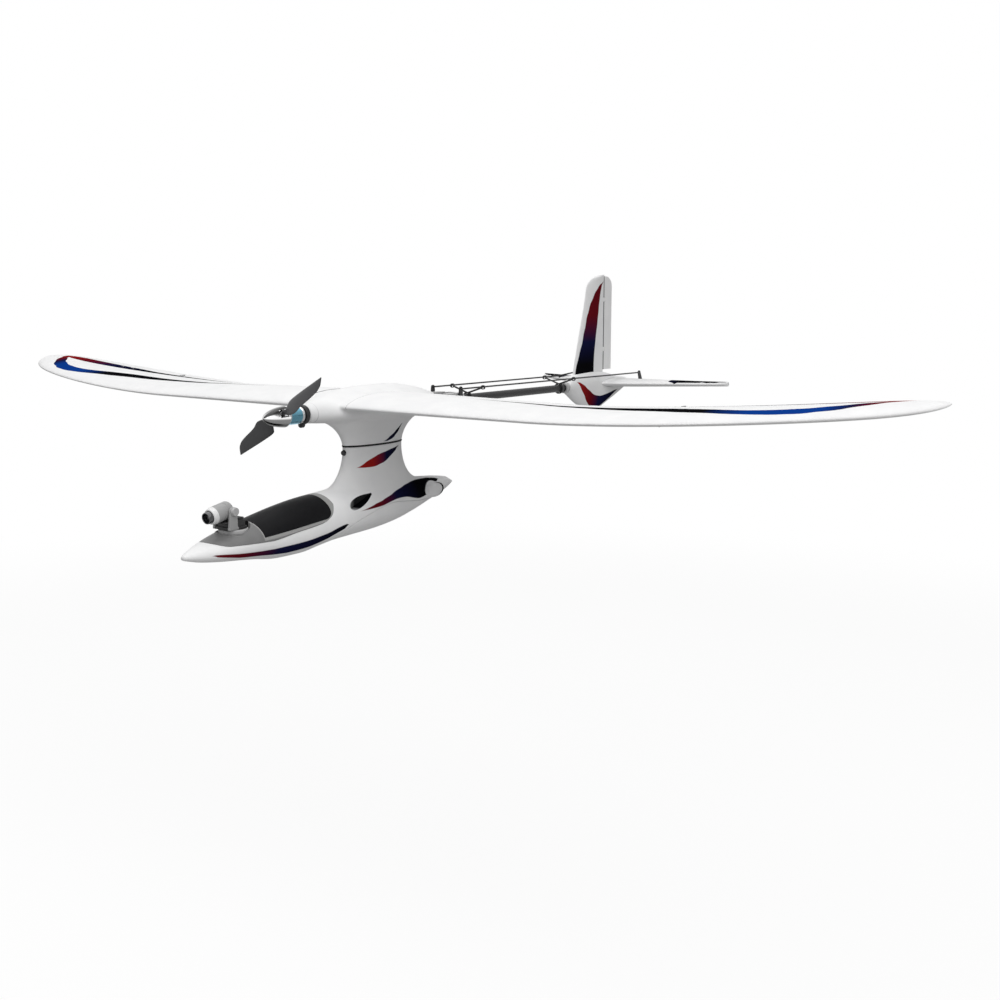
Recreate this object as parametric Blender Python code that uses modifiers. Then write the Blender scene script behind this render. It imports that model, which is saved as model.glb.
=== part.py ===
"""Powered glider with a nose camera, a pod on a pylon, a long wing and a tail boom.

Metres, +Z up. The nose points to -Y and the left wing to +X. The flat of the belly rests on Z = 0.
"""

import math

import bmesh
import bpy
from mathutils import Matrix, Vector

# Fits
CLEAR = 0.0003  # gap between pieces that touch
RUNNING = 0.0005  # gap round pieces that turn
FLAP_GAP = 0.0010  # gap ahead of a hinged surface

# Pod
AXIS_Z = 0.1150  # thrust and boom line above the belly
POD_NOSE_Y = -0.3616
POD_LENGTH = 0.3418
POD_HEIGHT = 0.0485
POD_HALF_WIDTH = 0.0280
POD_WIDEST = 0.40  # height of the widest line, as a share of the local depth
POD_SIDES = 24
POD_STATIONS = 18
# Share of the length, then share of the height or of the half width
POD_TOP = (
    (0, 0.315), (0.05, 0.43), (0.195, 0.70), (0.40, 0.93),
    (0.62, 1.0), (0.82, 0.95), (0.97, 0.85), (1, 0.76),
)
POD_BOTTOM = (
    (0, 0.245), (0.05, 0.165), (0.20, 0.05), (0.27, -0.014), (0.34, -0.018), (0.40, 0.035), (0.46, 0.085),
    (0.52, 0.105), (0.62, 0.135), (0.70, 0.19), (0.78, 0.30), (0.86, 0.43), (0.97, 0.61), (1, 0.70),
)
POD_SIDE = (
    (0, 0.07), (0.02, 0.26), (0.107, 0.70), (0.297, 0.98),
    (0.50, 0.985), (0.736, 0.80), (0.912, 0.42), (1, 0.12),
)

# Cockpit frame, canopy and bays; distances run back from the nose
FRAME_EDGE = (
    (0.0160, 0.0250), (0.0360, 0.0194), (0.0716, 0.0190), (0.1000, 0.0222),
    (0.1296, 0.0252), (0.1430, 0.0300), (0.1510, 0.0385),
)
FRAME_STEPS = 12
CANOPY_FRONT = 0.0666
CANOPY_REAR = 0.1446
CANOPY_FRONT_EDGE_Z = 0.0225
CANOPY_REAR_EDGE_Z = 0.0289
CANOPY_CORNER = 0.0090
CANOPY_WALL = 0.0040
BAY_HALF_WIDTH = 0.0155
BAY_FRONT = 0.0700
BAY_REAR = 0.1390
BAY_FLOOR_Z = 0.0080
BATTERY_LENGTH = 0.0620
BATTERY_HEIGHT = 0.0135
STRAP_WIDTH = 0.0140
STRAP_THICKNESS = 0.0010
SEAM_POINTS = (
    (0.1496, 0.0060), (0.1616, 0.0170), (0.1896, 0.0255), (0.2266, 0.0310),
    (0.2666, 0.0275), (0.3166, 0.0255), (0.3418, 0.0245),
)
SEAM_STEPS = 12
EQUIPMENT_FRONT = 0.1700
EQUIPMENT_LENGTH = 0.0780
EQUIPMENT_HALF_WIDTH = 0.0130
EQUIPMENT_FLOOR_Z = 0.0145
EQUIPMENT_TOP_Z = 0.0390
FLIGHT_BOARD = (0.0240, 0.0420, 0.0080)
SPEED_CONTROLLER = (0.0200, 0.0300, 0.0070)
VIDEO_TRANSMITTER = (0.0180, 0.0260, 0.0060)
INTAKE_BACK = 0.1816
INTAKE_Z = 0.0372
INTAKE_LENGTH = 0.0270
INTAKE_HEIGHT = 0.0095
INTAKE_SLOPE = 12.0
INTAKE_INNER_X = 0.0150
INTAKE_OUTER_X = 0.0190
BOSS_BACK = 0.2930
BOSS_Z = 0.0342
BOSS_LENGTH = 0.0260
BOSS_HEIGHT = 0.0142
BOSS_SLOPE = 6.0
BOSS_INNER_X = 0.0070
BOSS_PROUD = 0.0012

# Camera; its distance runs back from the nose
CAMERA_BACK = 0.0536
DECK_Z = 0.0250
DECK_RADIUS = 0.0135
TURNTABLE_RADIUS = 0.0121
TURNTABLE_THICKNESS = 0.0046
YOKE_GAP = 0.0152  # between the ears
YOKE_EAR = 0.0022
YOKE_DEPTH = 0.0090
YOKE_BLOCK = (0.0120, 0.0080, 0.0065)  # tilt drive behind the barrel
YOKE_BLOCK_BACK = 0.0020
TILT_RISE = 0.0153  # tilt axis above the turntable
TILT_AHEAD = 0.0085  # tilt axis ahead of the pan axis
CAMERA_TILT = 11.0  # nose-down set of the barrel, degrees
BARREL_RADIUS = 0.0071
BARREL_FRONT = 0.0170
BARREL_REAR = 0.0055
LENS_RADIUS = 0.0048
LENS_LENGTH = 0.0070
TILT_SCREW_RADIUS = 0.0014
TILT_KNOB_RADIUS = 0.0036

# Pylon
PYLON_Y = -0.1365
PYLON_HALF_CHORD = 0.0385
PYLON_HALF_THICKNESS = 0.0120
PYLON_FOOT_SINK = 0.0030
PYLON_HEAD_DROP = 0.0055
PYLON_WAIST = 0.54
SEAM_RISE = 0.0030  # seam above the waist
FOOT_REACH = 0.0275
FOOT_SPREAD = 0.0100
FOOT_SIDE_DROP = 0.0095  # side flare runs on below the foot
FOOT_ROOT = 0.0065  # foot buried in the pod
HEAD_REACH = 0.0470
HEAD_SPREAD = 0.0080
FLARE_SHIFT = -0.0010
PYLON_SIDES = 24
PYLON_STEPS = 6
GASKET_THICKNESS = 0.0012
GASKET_LIP = 0.0004
SPIGOT_LENGTH = 0.0400
SPIGOT_HALF_WIDTH = 0.0060
SPIGOT_DEPTH = 0.0170
PYLON_SCREW_RADIUS = 0.0013
PYLON_SCREW_LENGTH = 0.0090
PYLON_SCREW_DROP = 0.0055
PYLON_HEAD_RADIUS = 0.0026
PYLON_HEAD_HEIGHT = 0.0018

# Wing
WING_HALF_SPAN = 0.5000
WING_ROOT_X = 0.0280
WING_BREAK_X = 0.2000
WING_LEAD_Y = -0.2053
WING_CHORD = 0.1430
WING_Z = 0.1207
WING_TIP_RISE = 0.0230
WING_TIP_BEND = 1.55
WING_TIP_SWEEP = 0.0950
WING_THICKNESS = 0.092
WING_CAMBER = 0.030
WING_OUTER_DEPTH = 0.76  # section height past the break, as a share of the root's
WING_WASHOUT = 3.0  # degrees nose down at the tip
CAMBER_PEAK = 0.40
TRAIL_HALF = 0.0030
AIRFOIL_STEPS = 12
JOINER_RADIUS = 0.0030
JOINER_HALF_LENGTH = 0.1450
JOINER_CHORD = 0.32
AILERON_IN_X = 0.1850
AILERON_OUT_X = 0.3800
AILERON_CHORD = 0.70
AILERON_STATIONS = 7
WING_SERVO_X = 0.2820
WING_SERVO_Y = -0.1480
WING_SERVO = (0.0180, 0.0200, 0.0075)
WING_ARM_AHEAD = 0.0050

# Nacelle
NACELLE_NOSE = 0.0207  # ahead of the wing's leading edge
NACELLE_TAIL = 0.0103  # behind the wing's trailing edge
NACELLE_SIDES = 24
NACELLE_STATIONS = 14
# Share of the length, then height above the axis, depth below it, half width
NACELLE_TOP = (
    (0, 0.0078), (0.14, 0.0146), (0.28, 0.0188), (0.45, 0.0213), (0.63, 0.0212), (0.82, 0.0173), (1, 0.0100),
)
NACELLE_BOTTOM = ((0, 0.0078), (0.20, 0.0095), (0.50, 0.0105), (0.85, 0.0105), (1, 0.0070))
NACELLE_SIDE = (
    (0, 0.0078), (0.06, 0.0105), (0.12, 0.0185), (0.20, 0.0255),
    (0.30, 0.0268), (0.60, 0.0268), (0.80, 0.0235), (1, 0.0095),
)

# Drive, in order from the nacelle forwards
MOUNT_RADIUS = 0.0084
MOUNT_THICKNESS = 0.0050
LUG_RADIUS = 0.0026
LUG_LENGTH = 0.0040
BELL_RADIUS = 0.0074
BELL_FRONT_RADIUS = 0.0064
BELL_LENGTH = 0.0185
BELL_WALL = 0.0012
SHAFT_RADIUS = 0.0010
HUB_RADIUS = 0.0034
HUB_LENGTH = 0.0120
SPINNER_RADIUS = 0.0090
SPINNER_LENGTH = 0.0230
SPINNER_WALL = 0.0012
BLADE_PIVOT = 0.0074
BLADE_PIN_RADIUS = 0.0007
BLADE_PIN_LENGTH = 0.0058
BLADE_TANG = 0.0030
BLADE_TANG_DEPTH = 0.0036
FORK_WALL = 0.0014
PROP_RADIUS = 0.0573
PROP_ANGLE = 29.0
BLADE_CHORD = 0.0142
BLADE_STATIONS = (0, 0.09, 0.20, 0.40, 0.62, 0.80, 0.90, 0.96, 1)
# Share of the blade's length, then its two edges in chords from the pin, twist in degrees
BLADE_STRAIGHT_EDGE = ((0, 0.26), (0.09, 0.61), (0.20, 0.655), (1, 0.613))
BLADE_CURVED_EDGE = (
    (0, -0.22), (0.10, -0.42), (0.22, -0.48), (0.40, -0.29), (0.80, -0.07), (0.93, 0.15), (1, 0.52),
)
BLADE_TWIST = ((0, 30.0), (0.3, 24.0), (1, 13.0))
BLADE_THICKNESS = 0.0011

# Tray, boom and control rods
TRAY_LENGTH = 0.0427
TRAY_HALF_WIDTH = 0.0064
TRAY_TOP = 0.0070
TRAY_BOTTOM = 0.0070
TRAY_SPIGOT_RADIUS = 0.0048
TRAY_SPIGOT_LENGTH = 0.0150
SHELF_HALF_WIDTH = 0.0152
SHELF_THICKNESS = 0.0024
BOOM_RADIUS = 0.0040
BOOM_SPAN = 0.2032  # from the tray to the tail fairing
BOOM_SOCKET = 0.0320
COLLAR_LENGTH = 0.0055
COLLAR_WALL = 0.0016
SERVO_WIDTH = 0.0080
SERVO_LENGTH = 0.0220
SERVO_HEIGHT = 0.0115
SERVO_BACK = 0.0100
SERVO_BOSS_RADIUS = 0.0026
SERVO_BOSS = 0.0012
ARM_RADIUS = 0.0100
ARM_THICKNESS = 0.0015
ARM_HUB = 0.0030
ARM_TIP = 0.0022
ROD_RADIUS = 0.0008
GUIDE_DIP = 0.0009  # how far a rod sinks as its arm swings
EYE_LENGTH = 0.0026
EYE_WALL = 0.0011
GUIDE_LEG = 0.0009
FRONT_GUIDE_GAP = 0.0120
REAR_GUIDE_GAP = 0.0090

# Tail; distances run back from the front of the fairing
FAIRING_LENGTH = 0.1330
FAIRING_SIDES = 18
FAIRING_STATIONS = 11
BOOM_SEAT = 0.0300
# Share of the fairing's length, then height above the axis, depth below it, half width
FAIRING_TOP = ((0, 0.0066), (0.12, 0.0140), (0.31, 0.0165), (0.60, 0.0140), (0.80, 0.0092), (1, 0.0058))
FAIRING_BOTTOM = ((0, 0.0066), (0.20, 0.0215), (0.42, 0.0290), (0.70, 0.0185), (1, 0.0045))
FAIRING_SIDE = ((0, 0.0066), (0.30, 0.0092), (0.60, 0.0092), (0.85, 0.0060), (1, 0.0030))
FIN_FOOT = 0.0075  # above the axis
FIN_TOP = 0.1260
FIN_LEAD = (
    (0.0075, 0.0130), (0.0160, 0.0148), (0.0960, 0.0378),
    (0.1130, 0.0420), (0.1210, 0.0520), (0.1260, 0.0720),
)
FIN_LEVELS = 7
FIN_HALF_ROOT = 0.0036
FIN_HALF_TIP = 0.0018
RUDDER_HINGE = 0.0800
RUDDER_CHORD = 0.0180
RUDDER_BOTTOM = 0.0172
RUDDER_TOP = 0.1245
RUDDER_ROUND = 0.0120
TAILPLANE_Z = 0.0018  # above the axis
TAILPLANE_HALF_SPAN = 0.1250
TAILPLANE_LEAD = (
    (0, 0.0600), (0.0150, 0.0660), (0.0700, 0.1040),
    (0.1080, 0.1320), (0.1200, 0.1430), (0.1250, 0.1510),
)
TAILPLANE_TRAIL = ((0, 0.1674), (0.1080, 0.1674), (0.1200, 0.1625), (0.1250, 0.1540))
TAILPLANE_HALF_ROOT = 0.0050
TAILPLANE_HALF_TIP = 0.0026
ELEVATOR_HINGE = 0.1370
ELEVATOR_HALF_SPAN = 0.1000
THICKEST = 0.30
TAIL_EDGE_HALF = 0.0004
TAIL_STEPS = 5
FLAP_STEPS = 3
NOSE_STEPS = 4

# Hinges
HINGE_LUG = 0.0040
HINGE_LUG_HALF = 0.0013
HINGE_PIN_RADIUS = 0.0006
HINGE_PIN_LENGTH = 0.0140
HORN_THICKNESS = 0.0015
HORN_FOOT = 0.0060
HORN_FOOT_START = 0.0010
WING_ARM_RADIUS = 0.0080
WING_ROD_RADIUS = 0.0006
WING_ARM_HUB = 0.0026
RUDDER_HORN_RADIUS = 0.0120
RUDDER_HORN_UP = 0.0035  # above the rudder's foot
RUDDER_ROD_DROP = 0.0035  # rod below its horn
RUDDER_ROD_PLAY = 0.0008

# Places that follow from the sizes
POD_TAIL_Y = POD_NOSE_Y + POD_LENGTH
WING_TRAIL_Y = WING_LEAD_Y + WING_CHORD
NACELLE_FRONT_Y = WING_LEAD_Y - NACELLE_NOSE
NACELLE_REAR_Y = WING_TRAIL_Y + NACELLE_TAIL
TRAY_FRONT_Y = NACELLE_REAR_Y + CLEAR
TRAY_REAR_Y = TRAY_FRONT_Y + TRAY_LENGTH
TAIL_Y = TRAY_REAR_Y + BOOM_SPAN
PYLON_FOOT_Z = POD_HEIGHT - PYLON_FOOT_SINK
PYLON_HEAD_Z = AXIS_Z - PYLON_HEAD_DROP
PYLON_WAIST_Z = PYLON_FOOT_Z + PYLON_WAIST * (PYLON_HEAD_Z - PYLON_FOOT_Z)
SEAM_Z = PYLON_WAIST_Z + SEAM_RISE
MOUNT_FRONT_Y = NACELLE_FRONT_Y - CLEAR - MOUNT_THICKNESS
BELL_REAR_Y = MOUNT_FRONT_Y - RUNNING
BELL_FRONT_Y = BELL_REAR_Y - BELL_LENGTH
SPINNER_REAR_Y = BELL_FRONT_Y - CLEAR
HUB_REAR_Y = SPINNER_REAR_Y
BLADE_Y = HUB_REAR_Y - HUB_LENGTH / 2
SERVO_INNER_X = TRAY_HALF_WIDTH + CLEAR
SERVO_OUTER_X = SERVO_INNER_X + SERVO_WIDTH
ARM_INNER_X = SERVO_OUTER_X + SERVO_BOSS + CLEAR
ARM_OUTER_X = ARM_INNER_X + ARM_THICKNESS
ROD_X = ARM_OUTER_X + CLEAR + ROD_RADIUS
ARM_Y = TRAY_REAR_Y - SERVO_BACK - SERVO_LENGTH * 0.3
ARM_PIVOT_Z = AXIS_Z + TAILPLANE_Z
ROD_Z = ARM_PIVOT_Z + ARM_RADIUS
ELEVATOR_Y = TAIL_Y + ELEVATOR_HINGE
RUDDER_Y = TAIL_Y + RUDDER_HINGE
WING_ARM_X = WING_SERVO_X + WING_SERVO[0] / 2 + CLEAR
WING_ROD_X = WING_ARM_X + ARM_THICKNESS + CLEAR + WING_ROD_RADIUS
CAMERA_Y = POD_NOSE_Y + CAMERA_BACK
TILT_Y = CAMERA_Y - TILT_AHEAD
TURNTABLE_Z = DECK_Z + CLEAR
TILT_Z = TURNTABLE_Z + TURNTABLE_THICKNESS + TILT_RISE

# Finishes: colour, roughness, metallic
FOAM = ("white_foam", (0.86, 0.86, 0.85), 0.55, 0.0)
FRAME_GREY = ("grey_plastic", (0.20, 0.20, 0.20), 0.50, 0.0)
CANOPY_BLACK = ("black_canopy", (0.012, 0.012, 0.013), 0.35, 0.0)
BLACK_PLASTIC = ("black_plastic", (0.02, 0.02, 0.022), 0.45, 0.0)
RUBBER = ("black_rubber", (0.015, 0.015, 0.015), 0.8, 0.0)
CARBON = ("carbon", (0.02, 0.02, 0.022), 0.35, 0.0)
ALUMINIUM = ("aluminium", (0.80, 0.81, 0.82), 0.22, 1.0)
STEEL = ("steel", (0.45, 0.45, 0.46), 0.30, 1.0)
BLUE_ANODISED = ("blue_anodised", (0.12, 0.42, 0.62), 0.28, 0.9)
BLADE_GREY = ("blade_grey", (0.055, 0.055, 0.058), 0.45, 0.0)
LIGHT_PLASTIC = ("light_plastic", (0.62, 0.62, 0.62), 0.45, 0.0)
TRAY_GREY = ("dark_tray", (0.06, 0.06, 0.065), 0.5, 0.0)
GLASS = ("lens_glass", (0.01, 0.01, 0.015), 0.05, 0.0)
BATTERY_WRAP = ("battery_wrap", (0.03, 0.06, 0.22), 0.35, 0.0)
BOARD_GREEN = ("circuit_board", (0.02, 0.12, 0.05), 0.5, 0.0)
COPPER = ("windings", (0.55, 0.25, 0.10), 0.4, 0.8)

PARTS = "camera_glider"
CUTTERS = "camera_glider_cutters"


def clear_scene():
    for thing in list(bpy.data.objects):
        bpy.data.objects.remove(thing, do_unlink=True)
    for name in (PARTS, CUTTERS):
        if name in bpy.data.collections:
            bpy.data.collections.remove(bpy.data.collections[name])
        bpy.context.scene.collection.children.link(bpy.data.collections.new(name))


def finish_material(finish):
    name, colour, roughness, metallic = finish
    if name in bpy.data.materials:
        return bpy.data.materials[name]
    made = bpy.data.materials.new(name)
    made.use_nodes = True
    shader = made.node_tree.nodes["Principled BSDF"]
    shader.inputs["Base Color"].default_value = (*colour, 1.0)
    shader.inputs["Roughness"].default_value = roughness
    shader.inputs["Metallic"].default_value = metallic
    return made


def piece(name, data, finish, origin=(0, 0, 0)):
    """One part, with its mesh or curve moved so that its origin lies on the given point."""
    if isinstance(data, bpy.types.Mesh):
        data.transform(Matrix.Translation(-Vector(origin)))
        data.shade_smooth()
        data.set_sharp_from_angle(angle=math.radians(35))
    made = bpy.data.objects.new(name, data)
    made.location = origin
    data.materials.append(finish_material(finish))
    bpy.data.collections[PARTS].objects.link(made)
    return made


def cutter(mesh):
    made = bpy.data.objects.new("cutter", mesh)
    made.hide_render = True
    made.display_type = "WIRE"
    bpy.data.collections[CUTTERS].objects.link(made)
    return made


def boolean(target, mesh, operation):
    step = target.modifiers.new(operation.lower(), "BOOLEAN")
    step.operation = operation
    step.solver = "EXACT"
    step.object = cutter(mesh)


def cut(target, *meshes):
    for mesh in meshes:
        boolean(target, mesh, "DIFFERENCE")


def join(target, *meshes):
    for mesh in meshes:
        boolean(target, mesh, "UNION")


def keep(target, mesh):
    boolean(target, mesh, "INTERSECT")


def mesh_of(form, name="form"):
    bmesh.ops.recalc_face_normals(form, faces=form.faces)
    mesh = bpy.data.meshes.new(name)
    form.to_mesh(mesh)
    form.free()
    return mesh


def box(low, high):
    low, high = Vector(low), Vector(high)
    form = bmesh.new()
    size = Matrix.Diagonal((*(high - low), 1))
    bmesh.ops.create_cube(form, size=1, matrix=Matrix.Translation((low + high) / 2) @ size)
    return mesh_of(form)


def turned_box(centre, basis, size):
    """Box whose sides lie along three given directions."""
    form = bmesh.new()
    turn = Matrix(basis).transposed().to_4x4()
    stretch = Matrix.Diagonal((*size, 1))
    bmesh.ops.create_cube(form, size=1, matrix=Matrix.Translation(centre) @ turn @ stretch)
    return mesh_of(form)


def add_rod(form, start, end, radius, sides, end_radius):
    start, end = Vector(start), Vector(end)
    along = end - start
    turn = Vector((0, 0, 1)).rotation_difference(along).to_matrix().to_4x4()
    bmesh.ops.create_cone(
        form, cap_ends=True, segments=sides, radius1=radius, radius2=end_radius,
        depth=along.length, matrix=Matrix.Translation((start + end) / 2) @ turn,
    )


def rod(start, end, radius, sides=16, end_radius=None):
    form = bmesh.new()
    add_rod(form, start, end, radius, sides, radius if end_radius is None else end_radius)
    return mesh_of(form)


def prism(outline, axis, low, high):
    """Flat outline pushed along X, Y or Z; its points are the other two coordinates in order."""
    place = {
        "X": lambda a, b: (low, a, b),
        "Y": lambda a, b: (a, low, b),
        "Z": lambda a, b: (a, b, low),
    }[axis]
    push = {"X": (high - low, 0, 0), "Y": (0, high - low, 0), "Z": (0, 0, high - low)}[axis]
    form = bmesh.new()
    face = form.faces.new([form.verts.new(place(a, b)) for a, b in outline])
    grown = bmesh.ops.extrude_face_region(form, geom=[face])["geom"]
    bmesh.ops.translate(form, vec=push, verts=[v for v in grown if isinstance(v, bmesh.types.BMVert)])
    return mesh_of(form)


def loft(rings):
    """Skin over closed rings of equal count, with flat ends."""
    form = bmesh.new()
    rows = [[form.verts.new(point) for point in ring] for ring in rings]
    count = len(rows[0])
    for row, after in zip(rows, rows[1:]):
        for k in range(count):
            form.faces.new((row[k], row[(k + 1) % count], after[(k + 1) % count], after[k]))
    form.faces.new(rows[0])
    form.faces.new(rows[-1])
    return mesh_of(form)


def turned(name, profile, finish, origin, toward, steps, closed=False):
    """Turned piece; the profile's pairs are radius and height along the axis, outer side downwards."""
    mesh = bpy.data.meshes.new(name)
    edges = [(k, k + 1) for k in range(len(profile) - 1)]
    if closed:
        edges.append((len(profile) - 1, 0))
    mesh.from_pydata([(radius, 0, height) for radius, height in profile], edges, [])
    made = piece(name, mesh, finish)
    made.location = origin
    made.rotation_mode = "QUATERNION"
    made.rotation_quaternion = Vector((0, 0, 1)).rotation_difference(Vector(toward))
    spin = made.modifiers.new("turn", "SCREW")
    spin.axis = "Z"
    spin.steps = steps
    spin.render_steps = steps
    spin.use_merge_vertices = True
    spin.merge_threshold = 0.00001
    spin.use_smooth_shade = True
    return made


def rounded(points, radius, steps=3):
    """Route with each inner corner replaced by a short bend."""
    points = [Vector(point) for point in points]
    route = [points[0]]
    for before, corner, after in zip(points, points[1:], points[2:]):
        start = corner + (before - corner).normalized() * radius
        end = corner + (after - corner).normalized() * radius
        for k in range(steps + 1):
            share = k / steps
            route.append(start.lerp(corner, share).lerp(corner.lerp(end, share), share))
    route.append(points[-1])
    return route


def wire(name, points, radius, finish, origin=(0, 0, 0), resolution=2):
    """Round bar along a route of points."""
    curve = bpy.data.curves.new(name, "CURVE")
    curve.dimensions = "3D"
    curve.bevel_depth = radius
    curve.bevel_resolution = resolution
    curve.use_fill_caps = True
    spline = curve.splines.new("POLY")
    spline.points.add(len(points) - 1)
    for slot, point in zip(spline.points, points):
        slot.co = (*(Vector(point) - Vector(origin)), 1)
    return piece(name, curve, finish, origin)


def bevel(target, width, segments=1):
    step = target.modifiers.new("edges", "BEVEL")
    step.width = width
    step.segments = segments
    step.limit_method = "ANGLE"


def smooth(points, at):
    """Value on a smooth curve through the points, which never overshoots them."""
    if at <= points[0][0]:
        return points[0][1]
    if at >= points[-1][0]:
        return points[-1][1]
    steps = [b[0] - a[0] for a, b in zip(points, points[1:])]
    slopes = [(b[1] - a[1]) / step for a, b, step in zip(points, points[1:], steps)]
    tangents = [slopes[0]]
    for before, after in zip(slopes, slopes[1:]):
        tangents.append(2 * before * after / (before + after) if before * after > 0 else 0.0)
    tangents.append(slopes[-1])
    k = max(i for i in range(len(steps)) if points[i][0] <= at)
    share = (at - points[k][0]) / steps[k]
    rise = points[k][1] * (1 + 2 * share) * (1 - share) ** 2 + points[k + 1][1] * share**2 * (3 - 2 * share)
    lean = tangents[k] * share * (1 - share) ** 2 - tangents[k + 1] * share**2 * (1 - share)
    return rise + lean * steps[k]


def spread(count):
    """Shares from 0 to 1, closer together at both ends."""
    return [0.5 - 0.5 * math.cos(math.pi * k / count) for k in range(count + 1)]


def circle(centre, radius, steps=12):
    turns = [math.tau * k / steps for k in range(steps)]
    return [(centre[0] + radius * math.cos(a), centre[1] + radius * math.sin(a)) for a in turns]


def hull(points):
    """Outline of the points, as a string drawn tight round them."""
    ordered = sorted(set(points))

    def half(run):
        line = []
        for point in run:
            while len(line) > 1 and turn(line[-2], line[-1], point) <= 0:
                line.pop()
            line.append(point)
        return line[:-1]

    def turn(a, b, c):
        return (b[0] - a[0]) * (c[1] - a[1]) - (b[1] - a[1]) * (c[0] - a[0])

    return half(ordered) + half(ordered[::-1])


# Pod


def pod_share(y):
    return (y - POD_NOSE_Y) / POD_LENGTH


def pod_top(y):
    return POD_HEIGHT * smooth(POD_TOP, pod_share(y))


def pod_side(y):
    return POD_HALF_WIDTH * smooth(POD_SIDE, pod_share(y))


def pod_ring(y):
    top = pod_top(y)
    bottom = POD_HEIGHT * smooth(POD_BOTTOM, pod_share(y))
    middle = bottom + POD_WIDEST * (top - bottom)
    ring = []
    for k in range(POD_SIDES):
        angle = math.tau * (k + 0.5) / POD_SIDES
        reach = top - middle if math.sin(angle) > 0 else middle - bottom
        ring.append((pod_side(y) * math.cos(angle), y, max(0.0, middle + reach * math.sin(angle))))
    return ring


def pod_body():
    return loft([pod_ring(POD_NOSE_Y + POD_LENGTH * share) for share in spread(POD_STATIONS)])


def pod_half_width_at(y, z):
    """Half width of the pod at a height above its widest line."""
    bottom = POD_HEIGHT * smooth(POD_BOTTOM, pod_share(y))
    middle = bottom + POD_WIDEST * (pod_top(y) - bottom)
    share = min(1.0, (z - middle) / (pod_top(y) - middle))
    return pod_side(y) * math.sqrt(1 - share**2)


def frame_region(inset):
    """Side outline of all that lies above the cockpit frame's lower edge."""
    first, last = FRAME_EDGE[0][0], FRAME_EDGE[-1][0]
    above = 2 * POD_HEIGHT
    stations = [first + (last - first) * k / FRAME_STEPS for k in range(FRAME_STEPS + 1)]
    edge = [(POD_NOSE_Y + back, smooth(FRAME_EDGE, back) + inset) for back in stations]
    edge[-1] = (edge[-1][0] - inset, edge[-1][1])
    top = [(edge[-1][0], above), (edge[0][0], above)]
    return prism(edge + top, "X", -POD_HALF_WIDTH * 2, POD_HALF_WIDTH * 2)


def canopy_region(inset):
    """Side outline of the canopy, with a rounded lower rear corner."""
    front = POD_NOSE_Y + CANOPY_FRONT + inset
    rear = POD_NOSE_Y + CANOPY_REAR - inset
    slope = (CANOPY_REAR_EDGE_Z - CANOPY_FRONT_EDGE_Z) / (CANOPY_REAR - CANOPY_FRONT)
    above = 2 * POD_HEIGHT
    corner = (rear, CANOPY_REAR_EDGE_Z + inset)
    before = (rear - CANOPY_CORNER, corner[1] - slope * CANOPY_CORNER)
    after = (rear, corner[1] + CANOPY_CORNER)
    edge = [(p.x, p.y) for p in rounded([(*before, 0), (*corner, 0), (*after, 0)], CANOPY_CORNER * 0.98)]
    outline = [(front, CANOPY_FRONT_EDGE_Z + inset), *edge[1:-1], (rear, above), (front, above)]
    return prism(outline, "X", -POD_HALF_WIDTH * 2, POD_HALF_WIDTH * 2)


def belly_region(inset):
    """Side outline of the belly panel, below its arched seam."""
    first, last = SEAM_POINTS[0][0], SEAM_POINTS[-1][0]
    stations = [first + (last - first) * k / SEAM_STEPS for k in range(SEAM_STEPS + 1)]
    edge = [(POD_NOSE_Y + back, smooth(SEAM_POINTS, back) - inset) for back in stations]
    edge[0] = (edge[0][0] + inset, edge[0][1])
    behind = POD_TAIL_Y + POD_HALF_WIDTH
    below = -POD_HEIGHT
    outline = edge + [(behind, edge[-1][1]), (behind, below), (edge[0][0], below)]
    return prism(outline, "X", -POD_HALF_WIDTH * 2, POD_HALF_WIDTH * 2)


def battery_bay():
    front = POD_NOSE_Y + BAY_FRONT
    rear = POD_NOSE_Y + BAY_REAR
    return box((-BAY_HALF_WIDTH, front, BAY_FLOOR_Z), (BAY_HALF_WIDTH, rear, POD_HEIGHT))


def equipment_bay():
    front = POD_NOSE_Y + EQUIPMENT_FRONT
    low = (-EQUIPMENT_HALF_WIDTH, front, EQUIPMENT_FLOOR_Z)
    return box(low, (EQUIPMENT_HALF_WIDTH, front + EQUIPMENT_LENGTH, EQUIPMENT_TOP_Z))


def oval_plug(centre, length, height, slope, inner, outer, sides=20):
    """Oval bar across the pod's side, sloped in side view."""
    lean = math.radians(slope)
    outline = []
    for k in range(sides):
        angle = math.tau * k / sides
        along, up = length / 2 * math.cos(angle), height / 2 * math.sin(angle)
        outline.append((
            centre[0] + along * math.cos(lean) - up * math.sin(lean),
            centre[1] + along * math.sin(lean) + up * math.cos(lean),
        ))
    return prism(outline, "X", min(inner, outer), max(inner, outer))


def both(mesh):
    """The mesh and its mirror image across the middle, as two separate bodies."""
    form = bmesh.new()
    form.from_mesh(mesh)
    copy = bmesh.ops.duplicate(form, geom=form.verts[:] + form.edges[:] + form.faces[:])["geom"]
    twin = [v for v in copy if isinstance(v, bmesh.types.BMVert)]
    bmesh.ops.scale(form, vec=(-1, 1, 1), verts=twin)
    return mesh_of(form)


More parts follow.
